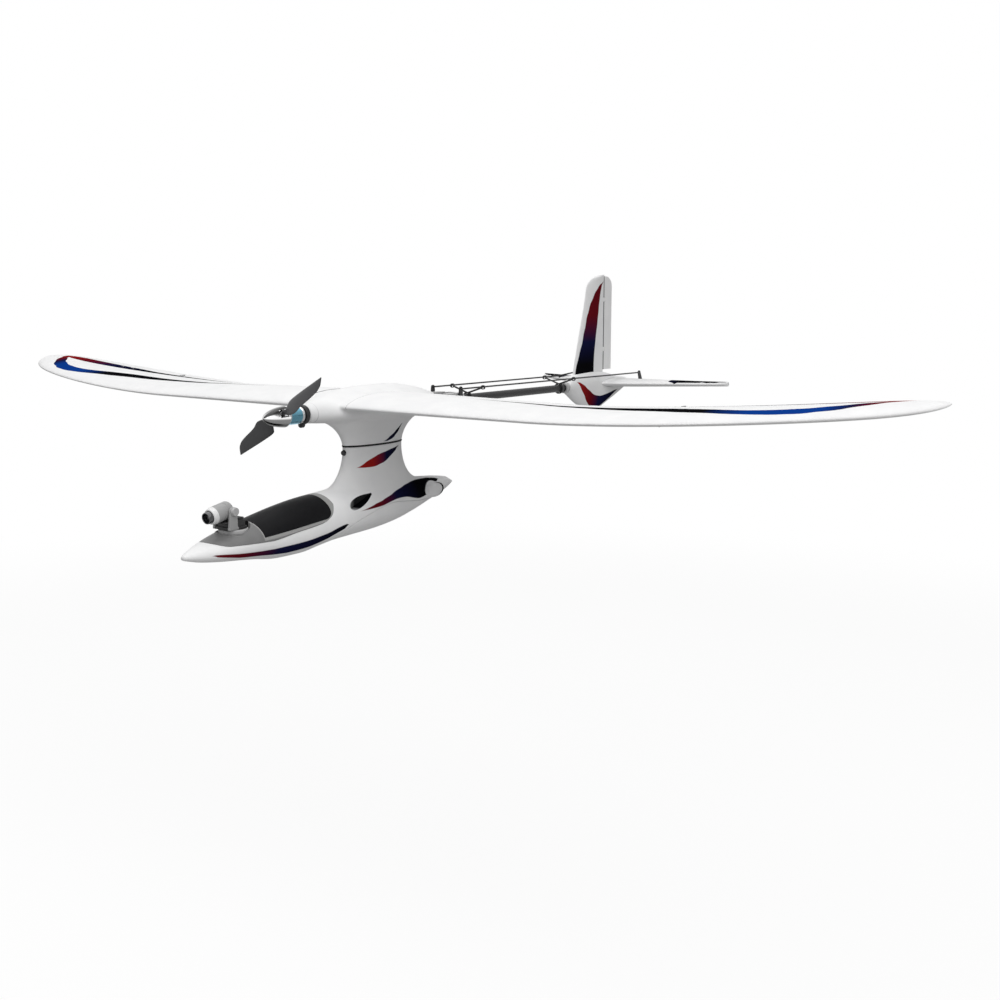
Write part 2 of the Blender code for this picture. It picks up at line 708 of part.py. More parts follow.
def build_pod():
    shell = piece("pod_shell", pod_body(), FOAM)
    join(shell, pylon_body(PYLON_FOOT_Z - FOOT_ROOT, SEAM_Z - GASKET_THICKNESS / 2 - CLEAR))
    boss = (POD_NOSE_Y + BOSS_BACK, BOSS_Z)
    reach = pod_half_width_at(*boss) + BOSS_PROUD
    join(shell, both(oval_plug(boss, BOSS_LENGTH, BOSS_HEIGHT, BOSS_SLOPE, BOSS_INNER_X, reach)))
    cut(shell, frame_region(0), belly_region(0), battery_bay(), equipment_bay(), spigot(CLEAR))
    intake = ((POD_NOSE_Y + INTAKE_BACK, INTAKE_Z), INTAKE_LENGTH, INTAKE_HEIGHT, INTAKE_SLOPE)
    outside = POD_HALF_WIDTH * 1.5
    cut(shell, both(oval_plug(*intake, INTAKE_INNER_X, outside)))
    seat, tip = pylon_screw_ends()
    ahead = seat - Vector((0, 2 * PYLON_HEAD_HEIGHT, 0))
    cut(shell, rod(ahead, tip + Vector((0, CLEAR, 0)), PYLON_SCREW_RADIUS + CLEAR, 8))
    cut(shell, rod(ahead, seat, PYLON_HEAD_RADIUS + CLEAR, 12))

    panel = piece("belly_panel", pod_body(), FOAM)
    keep(panel, belly_region(CLEAR))
    cut(panel, equipment_bay())

    centre, length, height, slope = intake
    insert = (centre, length - 2 * CLEAR, height - 2 * CLEAR, slope)
    bowl = (centre, length * 0.8, height * 0.66, slope)
    for side, word in ((1, "left"), (-1, "right")):
        plug = oval_plug(*insert, INTAKE_INNER_X + CLEAR, INTAKE_OUTER_X)
        duct = piece("air_intake_" + word, mirrored(plug, side), BLACK_PLASTIC)
        cut(duct, mirrored(oval_plug(*bowl, (INTAKE_INNER_X + INTAKE_OUTER_X) / 2, outside), side))


def build_cockpit():
    frame = piece("cockpit_frame", pod_body(), FRAME_GREY)
    keep(frame, frame_region(CLEAR))
    cut(frame, canopy_region(0), battery_bay())
    deck = (0, CAMERA_Y, DECK_Z)
    cut(frame, rod(deck, (0, CAMERA_Y, 2 * POD_HEIGHT), DECK_RADIUS, 24))

    canopy = piece("canopy_hatch", pod_body(), CANOPY_BLACK)
    keep(canopy, canopy_region(CLEAR))
    front = POD_NOSE_Y + CANOPY_FRONT + CANOPY_WALL
    rear = POD_NOSE_Y + CANOPY_REAR - 2 * CANOPY_WALL
    roof = [(front, pod_top(front) - CANOPY_WALL), (rear, pod_top(rear) - CANOPY_WALL)]
    hollow = [(front, 0.0), *roof, (rear, 0.0)]
    cut(canopy, prism(hollow, "X", CANOPY_WALL - BAY_HALF_WIDTH, BAY_HALF_WIDTH - CANOPY_WALL))


def build_equipment():
    middle = POD_NOSE_Y + (BAY_FRONT + BAY_REAR) / 2
    floor = BAY_FLOOR_Z + CLEAR
    half = BAY_HALF_WIDTH - 2 * CLEAR - STRAP_THICKNESS
    top = floor + BATTERY_HEIGHT
    pack = box((-half, middle - BATTERY_LENGTH / 2, floor), (half, middle + BATTERY_LENGTH / 2, top))
    bevel(piece("battery", pack, BATTERY_WRAP), 0.0015, 2)
    outer = half + CLEAR + STRAP_THICKNESS
    inner = half + CLEAR
    over = top + CLEAR
    arch = [(-outer, floor), (-inner, floor), (-inner, over), (inner, over), (inner, floor), (outer, floor)]
    arch += [(outer, over + STRAP_THICKNESS), (-outer, over + STRAP_THICKNESS)]
    piece("battery_strap", prism(arch, "Y", middle - STRAP_WIDTH / 2, middle + STRAP_WIDTH / 2), RUBBER)

    front = POD_NOSE_Y + EQUIPMENT_FRONT
    deck = EQUIPMENT_FLOOR_Z + CLEAR
    lay_board("flight_board", FLIGHT_BOARD, front + CLEAR, deck, BOARD_GREEN)
    lay_board("speed_controller", SPEED_CONTROLLER, front + 2 * CLEAR + FLIGHT_BOARD[1], deck, BLACK_PLASTIC)
    shelf = deck + FLIGHT_BOARD[2] + CLEAR
    lay_board("video_transmitter", VIDEO_TRANSMITTER, front + CLEAR, shelf, ALUMINIUM)


def lay_board(name, size, front, floor, finish):
    width, length, height = size
    form = box((-width / 2, front, floor), (width / 2, front + length, floor + height))
    bevel(piece(name, form, finish), 0.0008)


# Pylon and nacelle


def pylon_flare(z, end):
    """Quarter-round growth from 0 at the waist to 1 at an end."""
    share = min(1.0, abs((z - PYLON_WAIST_Z) / (end - PYLON_WAIST_Z)))
    return 1 - math.sqrt(1 - share**2)


def pylon_ring(z, grow=0.0):
    foot = z < PYLON_WAIST_Z
    flare = pylon_flare(z, PYLON_FOOT_Z if foot else PYLON_HEAD_Z)
    side_flare = pylon_flare(z, PYLON_FOOT_Z - FOOT_SIDE_DROP) if foot else flare
    half_length = PYLON_HALF_CHORD + (FOOT_REACH if foot else HEAD_REACH) * flare + grow
    half_width = PYLON_HALF_THICKNESS + (FOOT_SPREAD if foot else HEAD_SPREAD) * side_flare + grow
    middle = PYLON_Y + FLARE_SHIFT * flare
    turns = [math.tau * (k + 0.5) / PYLON_SIDES for k in range(PYLON_SIDES)]
    return [(half_width * math.sin(a), middle + half_length * math.cos(a), z) for a in turns]


def pylon_body(low, high):
    """Waisted column between two heights, with levels closer together where it flares."""
    levels = {low, high}
    for k in range(PYLON_STEPS + 1):
        share = math.sin(math.pi / 2 * k / PYLON_STEPS)
        for end in (PYLON_FOOT_Z, PYLON_HEAD_Z):
            level = PYLON_WAIST_Z + (end - PYLON_WAIST_Z) * share
            if low + CLEAR < level < high - CLEAR:
                levels.add(level)
    return loft([pylon_ring(z) for z in sorted(levels)])


def spigot(grow):
    """Tongue under the nacelle that plugs into the lower pylon."""
    half = SPIGOT_LENGTH / 2 + grow
    low = (-SPIGOT_HALF_WIDTH - grow, PYLON_Y - half, SEAM_Z - SPIGOT_DEPTH - grow)
    return box(low, (SPIGOT_HALF_WIDTH + grow, PYLON_Y + half, SEAM_Z + SPIGOT_DEPTH))


def pylon_screw_ends():
    """Seat and tip of the screw at the pylon's front edge."""
    seat = Vector((0, PYLON_Y - PYLON_HALF_CHORD, SEAM_Z - PYLON_SCREW_DROP))
    return seat, seat + Vector((0, PYLON_SCREW_LENGTH, 0))


def nacelle_ring(share):
    y = NACELLE_FRONT_Y + (NACELLE_REAR_Y - NACELLE_FRONT_Y) * share
    up, down, half = smooth(NACELLE_TOP, share), smooth(NACELLE_BOTTOM, share), smooth(NACELLE_SIDE, share)
    ring = []
    for k in range(NACELLE_SIDES):
        angle = math.tau * (k + 0.5) / NACELLE_SIDES
        reach = up if math.sin(angle) > 0 else down
        ring.append((half * math.cos(angle), y, AXIS_Z + reach * math.sin(angle)))
    return ring


def build_nacelle():
    nacelle = piece("nacelle", loft([nacelle_ring(share) for share in spread(NACELLE_STATIONS)]), FOAM)
    join(nacelle, pylon_body(SEAM_Z + GASKET_THICKNESS / 2 + CLEAR, PYLON_HEAD_Z))
    join(nacelle, loft([wing_ring(x) for x in (-WING_ROOT_X, 0.0, WING_ROOT_X)]))
    join(nacelle, spigot(0))
    cut(nacelle, joiner(CLEAR))
    rear = (0, NACELLE_REAR_Y + CLEAR, AXIS_Z)
    socket = (0, NACELLE_REAR_Y - TRAY_SPIGOT_LENGTH - CLEAR, AXIS_Z)
    cut(nacelle, rod(socket, rear, TRAY_SPIGOT_RADIUS + CLEAR))

    levels = (SEAM_Z - GASKET_THICKNESS / 2, SEAM_Z + GASKET_THICKNESS / 2)
    gasket = piece("pylon_gasket", loft([pylon_ring(z, GASKET_LIP) for z in levels]), RUBBER)
    cut(gasket, spigot(CLEAR))

    seat, tip = pylon_screw_ends()
    shoulder = seat - Vector((0, CLEAR, 0))
    head = shoulder - Vector((0, PYLON_HEAD_HEIGHT, 0))
    screw = piece("pylon_screw", rod(tip, head.lerp(shoulder, 0.5), PYLON_SCREW_RADIUS, 8), STEEL)
    join(screw, rod(shoulder, head, PYLON_HEAD_RADIUS, 12, PYLON_HEAD_RADIUS * 0.8))


# Wing


def wing_bend(x):
    """How far along the outer panel a station lies, from 0 at the break to 1 at the tip."""
    return min(1.0, max(0.0, (abs(x) - WING_BREAK_X) / (WING_HALF_SPAN - WING_BREAK_X)))


def wing_lead(x):
    return WING_LEAD_Y + WING_TIP_SWEEP * (1 - math.sqrt(1 - wing_bend(x) ** 2))


def wing_trail(x):
    return WING_TRAIL_Y - (WING_CHORD - WING_TIP_SWEEP) * (1 - math.sqrt(1 - wing_bend(x) ** 2))


def airfoil(share):
    """Camber line and half thickness at a share of the chord, both as shares of the chord."""
    p = CAMBER_PEAK
    if share < p:
        camber = WING_CAMBER / p**2 * (2 * p * share - share**2)
    else:
        camber = WING_CAMBER / (1 - p) ** 2 * (1 - 2 * p + 2 * p * share - share**2)
    root = math.sqrt(max(0.0, share))
    curve = 0.2969 * root - 0.126 * share - 0.3516 * share**2 + 0.2843 * share**3 - 0.1036 * share**4
    return camber, 5 * WING_THICKNESS * curve + TRAIL_HALF * share


def wing_skin(x, y, side):
    """Height of the upper (1), middle (0) or lower (-1) skin."""
    lead, trail = wing_lead(x), wing_trail(x)
    chord = trail - lead
    camber, half = airfoil((y - lead) / chord)
    outward = min(1.0, max(0.0, (abs(x) - WING_ROOT_X) / (WING_BREAK_X - WING_ROOT_X)))
    depth = chord * (1 - (1 - WING_OUTER_DEPTH) * outward)
    twist = (y - (lead + trail) / 2) * math.tan(math.radians(WING_WASHOUT)) * wing_bend(x)
    return WING_Z + WING_TIP_RISE * wing_bend(x) ** WING_TIP_BEND + twist + depth * (camber + side * half)


def wing_ring(x):
    lead, trail = wing_lead(x), wing_trail(x)
    shares = spread(AIRFOIL_STEPS)
    upper = [(x, lead + (trail - lead) * s, wing_skin(x, lead + (trail - lead) * s, 1)) for s in shares[::-1]]
    lower = [(x, lead + (trail - lead) * s, wing_skin(x, lead + (trail - lead) * s, -1)) for s in shares[1:]]
    return upper + lower


def wing_stations():
    outer = (0.0, 0.16, 0.32, 0.46, 0.60, 0.72, 0.82, 0.90, 0.955, 0.988)
    span = WING_HALF_SPAN - WING_BREAK_X
    return [WING_ROOT_X + CLEAR, *(WING_BREAK_X + span * share for share in outer), WING_HALF_SPAN - CLEAR]


def joiner(grow):
    y = WING_LEAD_Y + WING_CHORD * JOINER_CHORD
    z = wing_skin(0.0, y, 0)
    half = JOINER_HALF_LENGTH + grow
    return rod((-half, y, z), (half, y, z), JOINER_RADIUS + grow, 12)


def hinge_point(x):
    """Point of the straight aileron hinge line at a station of the left wing."""
    ends = []
    for station in (AILERON_IN_X, AILERON_OUT_X):
        y = wing_lead(station) + AILERON_CHORD * (wing_trail(station) - wing_lead(station))
        ends.append(Vector((station, y, wing_skin(station, y, 0))))
    return ends[0].lerp(ends[1], (x - AILERON_IN_X) / (AILERON_OUT_X - AILERON_IN_X))


def flap_ring(hinge, trail, skin):
    """Outline of a hinged surface: a round nose on the hinge line and two skins to the trailing edge."""
    half = (skin(hinge, 1) - skin(hinge, -1)) / 2
    middle = (skin(hinge, 1) + skin(hinge, -1)) / 2
    backs = [hinge + (trail - hinge) * k / FLAP_STEPS for k in range(FLAP_STEPS + 1)]
    ring = [(y, skin(y, 1)) for y in backs[::-1]]
    for k in range(1, NOSE_STEPS):
        angle = math.pi / 2 + math.pi * k / NOSE_STEPS
        ring.append((hinge + half * math.cos(angle), middle + half * math.sin(angle)))
    return ring + [(y, skin(y, -1)) for y in backs]


def aileron_nose(x):
    point = hinge_point(x)
    return (wing_skin(x, point.y, 1) - wing_skin(x, point.y, -1)) / 2


def aileron_body():
    rings = []
    for k in range(AILERON_STATIONS):
        x = AILERON_IN_X + (AILERON_OUT_X - AILERON_IN_X) * k / (AILERON_STATIONS - 1)
        ring = flap_ring(hinge_point(x).y, wing_trail(x), lambda y, side, x=x: wing_skin(x, y, side))
        rings.append([(x, y, z) for y, z in ring])
    return loft(rings)


def aileron_gap():
    """Notch in the wing's trailing edge that the aileron fills."""
    inner, outer = AILERON_IN_X - FLAP_GAP, AILERON_OUT_X + FLAP_GAP
    behind = WING_TRAIL_Y + WING_CHORD
    wall = [(x, hinge_point(x).y - aileron_nose(x) - FLAP_GAP) for x in (inner, outer)]
    return prism([*wall, (outer, behind), (inner, behind)], "Z", 0.0, AXIS_Z + WING_HALF_SPAN)


def mirrored(mesh, side):
    if side < 0:
        mesh.transform(Matrix.Diagonal((-1, 1, 1, 1)))
        mesh.flip_normals()
    return mesh


def wing_servo_base():
    """Height of the servo's lower face, level with the lower skin."""
    ahead = WING_SERVO_Y - WING_SERVO[1] / 2
    behind = WING_SERVO_Y + WING_SERVO[1] / 2
    outer = WING_SERVO_X + WING_SERVO[0] / 2
    return max(wing_skin(outer, ahead, -1), wing_skin(outer, behind, -1)) + CLEAR


def wing_servo_box(grow, drop=0.0):
    half_x, half_y = WING_SERVO[0] / 2 + grow, WING_SERVO[1] / 2 + grow
    base = wing_servo_base()
    low = (WING_SERVO_X - half_x, WING_SERVO_Y - half_y, base - drop)
    return box(low, (WING_SERVO_X + half_x, WING_SERVO_Y + half_y, base + WING_SERVO[2] + grow))


def wing_arm_pivot():
    return Vector((WING_ARM_X, WING_SERVO_Y + WING_ARM_AHEAD, wing_servo_base() + WING_SERVO[2] / 2))


def wing_arm_slot():
    pivot = wing_arm_pivot()
    reach = WING_ARM_RADIUS + ARM_TIP + 2 * CLEAR
    low = (WING_ARM_X - 2 * CLEAR, pivot.y - reach, 0.0)
    high = (WING_ROD_X + WING_ROD_RADIUS + 2 * CLEAR, pivot.y + reach, pivot.z + WING_ARM_HUB + 2 * CLEAR)
    return box(low, high)


def lever(pivot, pivot_radius, tip, tip_radius):
    return hull(circle(pivot, pivot_radius) + circle(tip, tip_radius))


def horn_outline(hinge, tip, depth):
    """Side outline of a horn: a foot sunk behind the hinge and an eye over or under it."""
    start, end = hinge[0] + HORN_FOOT_START, hinge[0] + HORN_FOOT_START + HORN_FOOT
    side = math.copysign(depth, tip[1] - hinge[1])
    near, far = hinge[1] + side, hinge[1] - side
    return hull([(start, far), (end, far), (end, near), *circle(tip, ARM_TIP)])


def horn_slot(hinge, tip, depth, low, high):
    """Slot behind a hinge for a horn's foot, open to the skin on the eye's side."""
    start = hinge[0] - ARM_TIP - CLEAR
    end = hinge[0] + HORN_FOOT_START + HORN_FOOT + CLEAR
    side = math.copysign(1, tip[1] - hinge[1])
    levels = sorted((hinge[1] - side * (depth + CLEAR), hinge[1] + side * WING_CHORD))
    return box((low - CLEAR, start, levels[0]), (high + CLEAR, end, levels[1]))


def build_wing(side, word):
    wing = piece("wing_" + word, mirrored(loft([wing_ring(x) for x in wing_stations()]), side), FOAM)
    inner, outer = hinge_point(AILERON_IN_X), hinge_point(AILERON_OUT_X)
    flip = Matrix.Diagonal((side, 1, 1))
    origin = flip @ inner.lerp(outer, 0.5)
    aileron = piece("aileron_" + word, mirrored(aileron_body(), side), FOAM, origin)
    cut(wing, mirrored(aileron_gap(), side), joiner(CLEAR), mirrored(wing_servo_box(CLEAR, POD_HEIGHT), side))
    cut(wing, mirrored(wing_arm_slot(), side))
    along = (outer - inner).normalized()
    for share in (0.07, 0.93):
        point = inner.lerp(outer, share)
        nose = aileron_nose(point.x)
        back = Vector((0, 1, 0))
        add_hinge(wing, aileron, flip @ point, flip @ along, back, nose)

    hinge = hinge_point(WING_ARM_X)
    foot = (hinge.y, hinge.z)
    depth = aileron_nose(WING_ARM_X) * 0.5
    eye = (hinge.y, hinge.z - WING_ARM_RADIUS)
    low, high = WING_ARM_X, WING_ARM_X + ARM_THICKNESS
    cut(aileron, mirrored(horn_slot(foot, eye, depth, low, high), side))
    form = prism(horn_outline(foot, eye, depth), "X", low, high)
    horn = piece("aileron_horn_" + word, mirrored(form, side), BLACK_PLASTIC)
    eye_hole = rod((low - CLEAR, *eye), (high + CLEAR, *eye), WING_ROD_RADIUS + CLEAR, 8)
    cut(horn, mirrored(eye_hole, side))

    pivot = wing_arm_pivot()
    tip = (pivot.y, pivot.z - WING_ARM_RADIUS)
    plate = prism(lever((pivot.y, pivot.z), WING_ARM_HUB, tip, ARM_TIP * 0.8), "X", low, high)
    arm = piece("aileron_arm_" + word, mirrored(plate, side), BLACK_PLASTIC, flip @ pivot)
    cut(arm, mirrored(rod((low - CLEAR, *tip), (high + CLEAR, *tip), WING_ROD_RADIUS + CLEAR, 8), side))

    run = [(low - ROD_RADIUS, *tip), (WING_ROD_X, *tip), (WING_ROD_X, *eye), (low - ROD_RADIUS, *eye)]
    route = [flip @ Vector(point) for point in rounded(run, 2 * WING_ROD_RADIUS)]
    wire("aileron_rod_" + word, route, WING_ROD_RADIUS, STEEL, flip @ Vector((low, *tip)))


def build_wing_fittings():
    for side, word in ((1, "left"), (-1, "right")):
        piece("aileron_servo_" + word, mirrored(wing_servo_box(0.0), side), BLACK_PLASTIC)
    piece("wing_joiner", joiner(0.0), CARBON)


# Hinges


def add_hinge(fixed, moving, point, along, back, nose):
    """Lug with a cross pin on the fixed piece, and the notch and bore for them in the moving piece."""
    across = along.cross(back).normalized()
    back = across.cross(along).normalized()
    basis = (along, back, across)
    root = nose + FLAP_GAP + HINGE_LUG
    reach = HINGE_LUG_HALF
    middle = point + back * (reach - root) / 2
    lug_size = Vector((HINGE_LUG, root + reach, 2 * HINGE_LUG_HALF))
    join(fixed, turned_box(middle, basis, lug_size))
    room = Vector((2 * RUNNING, 2 * RUNNING, 8 * nose))
    cut(moving, turned_box(middle, basis, lug_size + room))
    start, end = point - along * HINGE_PIN_LENGTH / 2, point + along * HINGE_PIN_LENGTH / 2
    spare = along * CLEAR
    join(fixed, rod(start, end, HINGE_PIN_RADIUS, 8))
    cut(moving, rod(start - spare, end + spare, HINGE_PIN_RADIUS + CLEAR, 8))


# Drive


def build_drive():
    face = (0, MOUNT_FRONT_Y, AXIS_Z)
    rear = (0, NACELLE_FRONT_Y - CLEAR, AXIS_Z)
    mount = piece("motor_mount", rod(rear, face, MOUNT_RADIUS, 24), BLACK_PLASTIC)
    low = AXIS_Z - MOUNT_RADIUS
    middle = (MOUNT_FRONT_Y + rear[1]) / 2
    join(mount, rod((0, middle + LUG_LENGTH / 2, low), (0, middle - LUG_LENGTH / 2, low), LUG_RADIUS, 12))

    hollow = BELL_RADIUS - BELL_WALL
    stator_rear = (0, MOUNT_FRONT_Y - CLEAR, AXIS_Z)
    stator_front = (0, BELL_FRONT_Y + 2 * BELL_WALL, AXIS_Z)
    stator_radius = BELL_FRONT_RADIUS - BELL_WALL - RUNNING
    stator = piece("motor_stator", rod(stator_rear, stator_front, stator_radius, 20), COPPER)
    bore = (0, MOUNT_FRONT_Y - BELL_LENGTH * 0.12, AXIS_Z)
    cut(stator, rod(bore, (0, BELL_FRONT_Y, AXIS_Z), SHAFT_RADIUS + CLEAR, 12))

    forward = (0, -1, 0)
    back = (0, BELL_REAR_Y, AXIS_Z)
    shaft_hole = SHAFT_RADIUS + CLEAR
    bell_profile = [
        (shaft_hole, BELL_LENGTH), (BELL_FRONT_RADIUS, BELL_LENGTH), (BELL_RADIUS, BELL_LENGTH * 0.55),
        (BELL_RADIUS, 0.0), (hollow, 0.0), (hollow, BELL_LENGTH * 0.55),
        (BELL_FRONT_RADIUS - BELL_WALL, BELL_LENGTH - BELL_WALL), (shaft_hole, BELL_LENGTH - BELL_WALL),
    ]
    turned("motor_bell", bell_profile, BLUE_ANODISED, back, forward, 24, closed=True)
    tip = (0, HUB_REAR_Y - HUB_LENGTH, AXIS_Z)
    piece("prop_shaft", rod((0, bore[1] - CLEAR, AXIS_Z), tip, SHAFT_RADIUS, 12), STEEL, tip)
    build_propeller()


def blade_frame(turn):
    """Radial, tangent and forward directions of one blade."""
    angle = math.radians(turn)
    radial = Vector((math.cos(angle), 0, math.sin(angle)))
    forward = Vector((0, -1, 0))
    return radial, forward.cross(radial), forward


def fork_corner():
    """How far the hub fork's corners lie from the blade's pin."""
    return math.hypot(BLADE_TANG_DEPTH / 2, BLADE_TANG_DEPTH / 2)


def build_propeller():
    centre = Vector((0, BLADE_Y, AXIS_Z))
    rear = Vector((0, HUB_REAR_Y - CLEAR, AXIS_Z))
    hub_front = Vector((0, HUB_REAR_Y - HUB_LENGTH + CLEAR, AXIS_Z))
    hub = piece("prop_hub", rod(rear, hub_front, HUB_RADIUS, 16), ALUMINIUM, centre)
    spinner_profile = []
    steps = 6
    inner_profile = []
    for k in range(steps + 1):
        share = k / steps
        height = SPINNER_LENGTH * (1 - share)
        spinner_profile.append((SPINNER_RADIUS * math.sqrt(share) * (1.3 - 0.3 * share), height))
    for k in range(2, steps + 1):
        share = k / steps
        radius = SPINNER_RADIUS * math.sqrt(share) * (1.3 - 0.3 * share) - SPINNER_WALL
        inner_profile.append((radius, SPINNER_LENGTH * (1 - share)))
    inner_profile.append((0.0, inner_profile[0][1]))
    profile = spinner_profile + inner_profile[:-1][::-1] + [inner_profile[-1]]
    spinner = turned("spinner", profile, ALUMINIUM, (0, SPINNER_REAR_Y, AXIS_Z), (0, -1, 0), 20)

    fork = BLADE_TANG / 2 + CLEAR + FORK_WALL
    for turn, word in ((PROP_ANGLE, "upper"), (PROP_ANGLE + 180.0, "lower")):
        radial, tangent, forward = blade_frame(turn)
        basis = (radial, tangent, forward)
        pivot = centre + radial * BLADE_PIVOT
        reach = BLADE_PIVOT + BLADE_TANG_DEPTH / 2
        arm = turned_box(centre + radial * reach / 2, basis, (reach, 2 * fork, BLADE_TANG_DEPTH))
        join(hub, arm)
        mouth = Vector((BLADE_PIVOT, BLADE_TANG + 2 * CLEAR, 4 * BLADE_TANG_DEPTH))
        swing = BLADE_TANG_DEPTH / 2 + 2 * RUNNING
        cut(hub, turned_box(centre + radial * (BLADE_PIVOT - swing + mouth.x / 2), basis, mouth))
        pin_half = tangent * BLADE_PIN_LENGTH / 2
        join(hub, rod(pivot - pin_half, pivot + pin_half, BLADE_PIN_RADIUS, 8))
        slot = (2 * SPINNER_RADIUS, 2 * (fork + RUNNING), HUB_LENGTH + BLADE_TANG_DEPTH)
        slot_middle = centre + radial * (SPINNER_RADIUS + HUB_RADIUS * 0.5) - forward * BLADE_TANG_DEPTH
        cut(spinner, turned_box(slot_middle, basis, slot))
        build_blade("blade_" + word, pivot, basis)
    cut(hub, rod(rear + Vector((0, CLEAR, 0)), hub_front - Vector((0, CLEAR, 0)), SHAFT_RADIUS + CLEAR, 12))


def build_blade(name, pivot, basis):
    radial, tangent, forward = basis
    length = PROP_RADIUS - BLADE_PIVOT
    start = fork_corner() + RUNNING
    section = ((0, 0), (0.25, 0.55), (0.6, 0.85), (0.9, 0.6), (1, 0), (0.9, -0.3), (0.6, -0.15), (0.25, -0.1))
    rings = []
    for share in BLADE_STATIONS:
        low = BLADE_CHORD * smooth(BLADE_CURVED_EDGE, share)
        high = BLADE_CHORD * smooth(BLADE_STRAIGHT_EDGE, share)
        twist = math.radians(smooth(BLADE_TWIST, share))
        across = tangent * math.cos(twist) - forward * math.sin(twist)
        through = forward * math.cos(twist) + tangent * math.sin(twist)
        half = BLADE_THICKNESS * (1.0 - 0.5 * share)
        spot = pivot + radial * (start + (length - start) * share)
        rings.append([spot + across * (low + (high - low) * a) + through * half * b for a, b in section])
    blade = piece(name, loft(rings), BLADE_GREY, pivot)
    tang_length = start + BLADE_CHORD * 0.2 + BLADE_TANG_DEPTH / 2
    tang_middle = pivot + radial * (tang_length / 2 - BLADE_TANG_DEPTH / 2)
    join(blade, turned_box(tang_middle, basis, (tang_length, BLADE_TANG, BLADE_TANG_DEPTH * 0.8)))
    cut(blade, rod(pivot - tangent * BLADE_TANG, pivot + tangent * BLADE_TANG, BLADE_PIN_RADIUS + CLEAR, 8))


# Camera


def build_camera():
    axis = Vector((0, CAMERA_Y, 0))
    top = TURNTABLE_Z + TURNTABLE_THICKNESS
    base = axis + Vector((0, 0, TURNTABLE_Z))
    disc = rod(base, axis + Vector((0, 0, top)), TURNTABLE_RADIUS, 24)
    turntable = piece("camera_turntable", disc, LIGHT_PLASTIC, base)
    bevel(turntable, 0.0006)

    inner = YOKE_GAP / 2
    outer = inner + YOKE_EAR
    foot = top + CLEAR
    plate = foot + YOKE_EAR
    tilt = Vector((0, TILT_Y, TILT_Z))
    half = YOKE_DEPTH / 2
    width, length, height = YOKE_BLOCK
    block_rear = CAMERA_Y + YOKE_BLOCK_BACK + length / 2
    floor = box((-outer, TILT_Y - half, foot), (outer, block_rear, plate))
    yoke = piece("camera_yoke", floor, BLACK_PLASTIC, base)
    join(yoke, box((-width / 2, block_rear - length, foot), (width / 2, block_rear, plate + height)))
    ear = hull([(TILT_Y - half, foot), (TILT_Y + half, foot), *circle((TILT_Y, TILT_Z), half * 0.8)])
    for side in (-1, 1):
        join(yoke, prism(ear, "X", min(side * inner, side * outer), max(side * inner, side * outer)))
        hole = (tilt + Vector((side * inner * 0.9, 0, 0)), tilt + Vector((side * outer * 1.1, 0, 0)))
        cut(yoke, rod(*hole, TILT_SCREW_RADIUS + CLEAR, 10))

    lean = math.radians(CAMERA_TILT)
    aim = Vector((0, -math.cos(lean), -math.sin(lean)))
    barrel = [
        (0.0, BARREL_FRONT), (BARREL_RADIUS * 0.82, BARREL_FRONT), (BARREL_RADIUS, BARREL_FRONT * 0.8),
        (BARREL_RADIUS, -BARREL_REAR * 0.25), (BARREL_RADIUS * 0.85, -BARREL_REAR * 0.70),
        (BARREL_RADIUS * 0.5, -BARREL_REAR * 0.94), (0.0, -BARREL_REAR),
    ]
    body = turned("camera_body", barrel, FOAM, tilt, aim, 24)
    seat = tilt + aim * (BARREL_FRONT - LENS_LENGTH * 0.5)
    cut(body, rod(seat, seat + aim * LENS_LENGTH, LENS_RADIUS + CLEAR, 20))
    across = Vector((1, 0, 0))
    cut(body, rod(tilt - across * YOKE_GAP, tilt + across * YOKE_GAP, TILT_SCREW_RADIUS + CLEAR, 10))
    lens = [
        (0.0, LENS_LENGTH * 0.55), (LENS_RADIUS * 0.5, LENS_LENGTH * 0.62),
        (LENS_RADIUS * 0.72, LENS_LENGTH * 0.75),
        (LENS_RADIUS * 0.8, LENS_LENGTH), (LENS_RADIUS, LENS_LENGTH), (LENS_RADIUS, 0.0), (0.0, 0.0),
    ]
    turned("camera_lens", lens, BLACK_PLASTIC, seat + aim * CLEAR, aim, 20)

    seat = across * (outer + CLEAR)
    knob = across * YOKE_EAR
    shank = rod(tilt - seat - knob / 2, tilt + seat + knob / 2, TILT_SCREW_RADIUS, 10)
    screw = piece("tilt_screw", shank, BLACK_PLASTIC, tilt)
    join(screw, rod(tilt + seat, tilt + seat + knob, TILT_KNOB_RADIUS, 16, TILT_KNOB_RADIUS * 0.9))
    join(screw, rod(tilt - seat, tilt - seat - knob, TILT_KNOB_RADIUS * 0.8, 6))


# Tail boom and controls


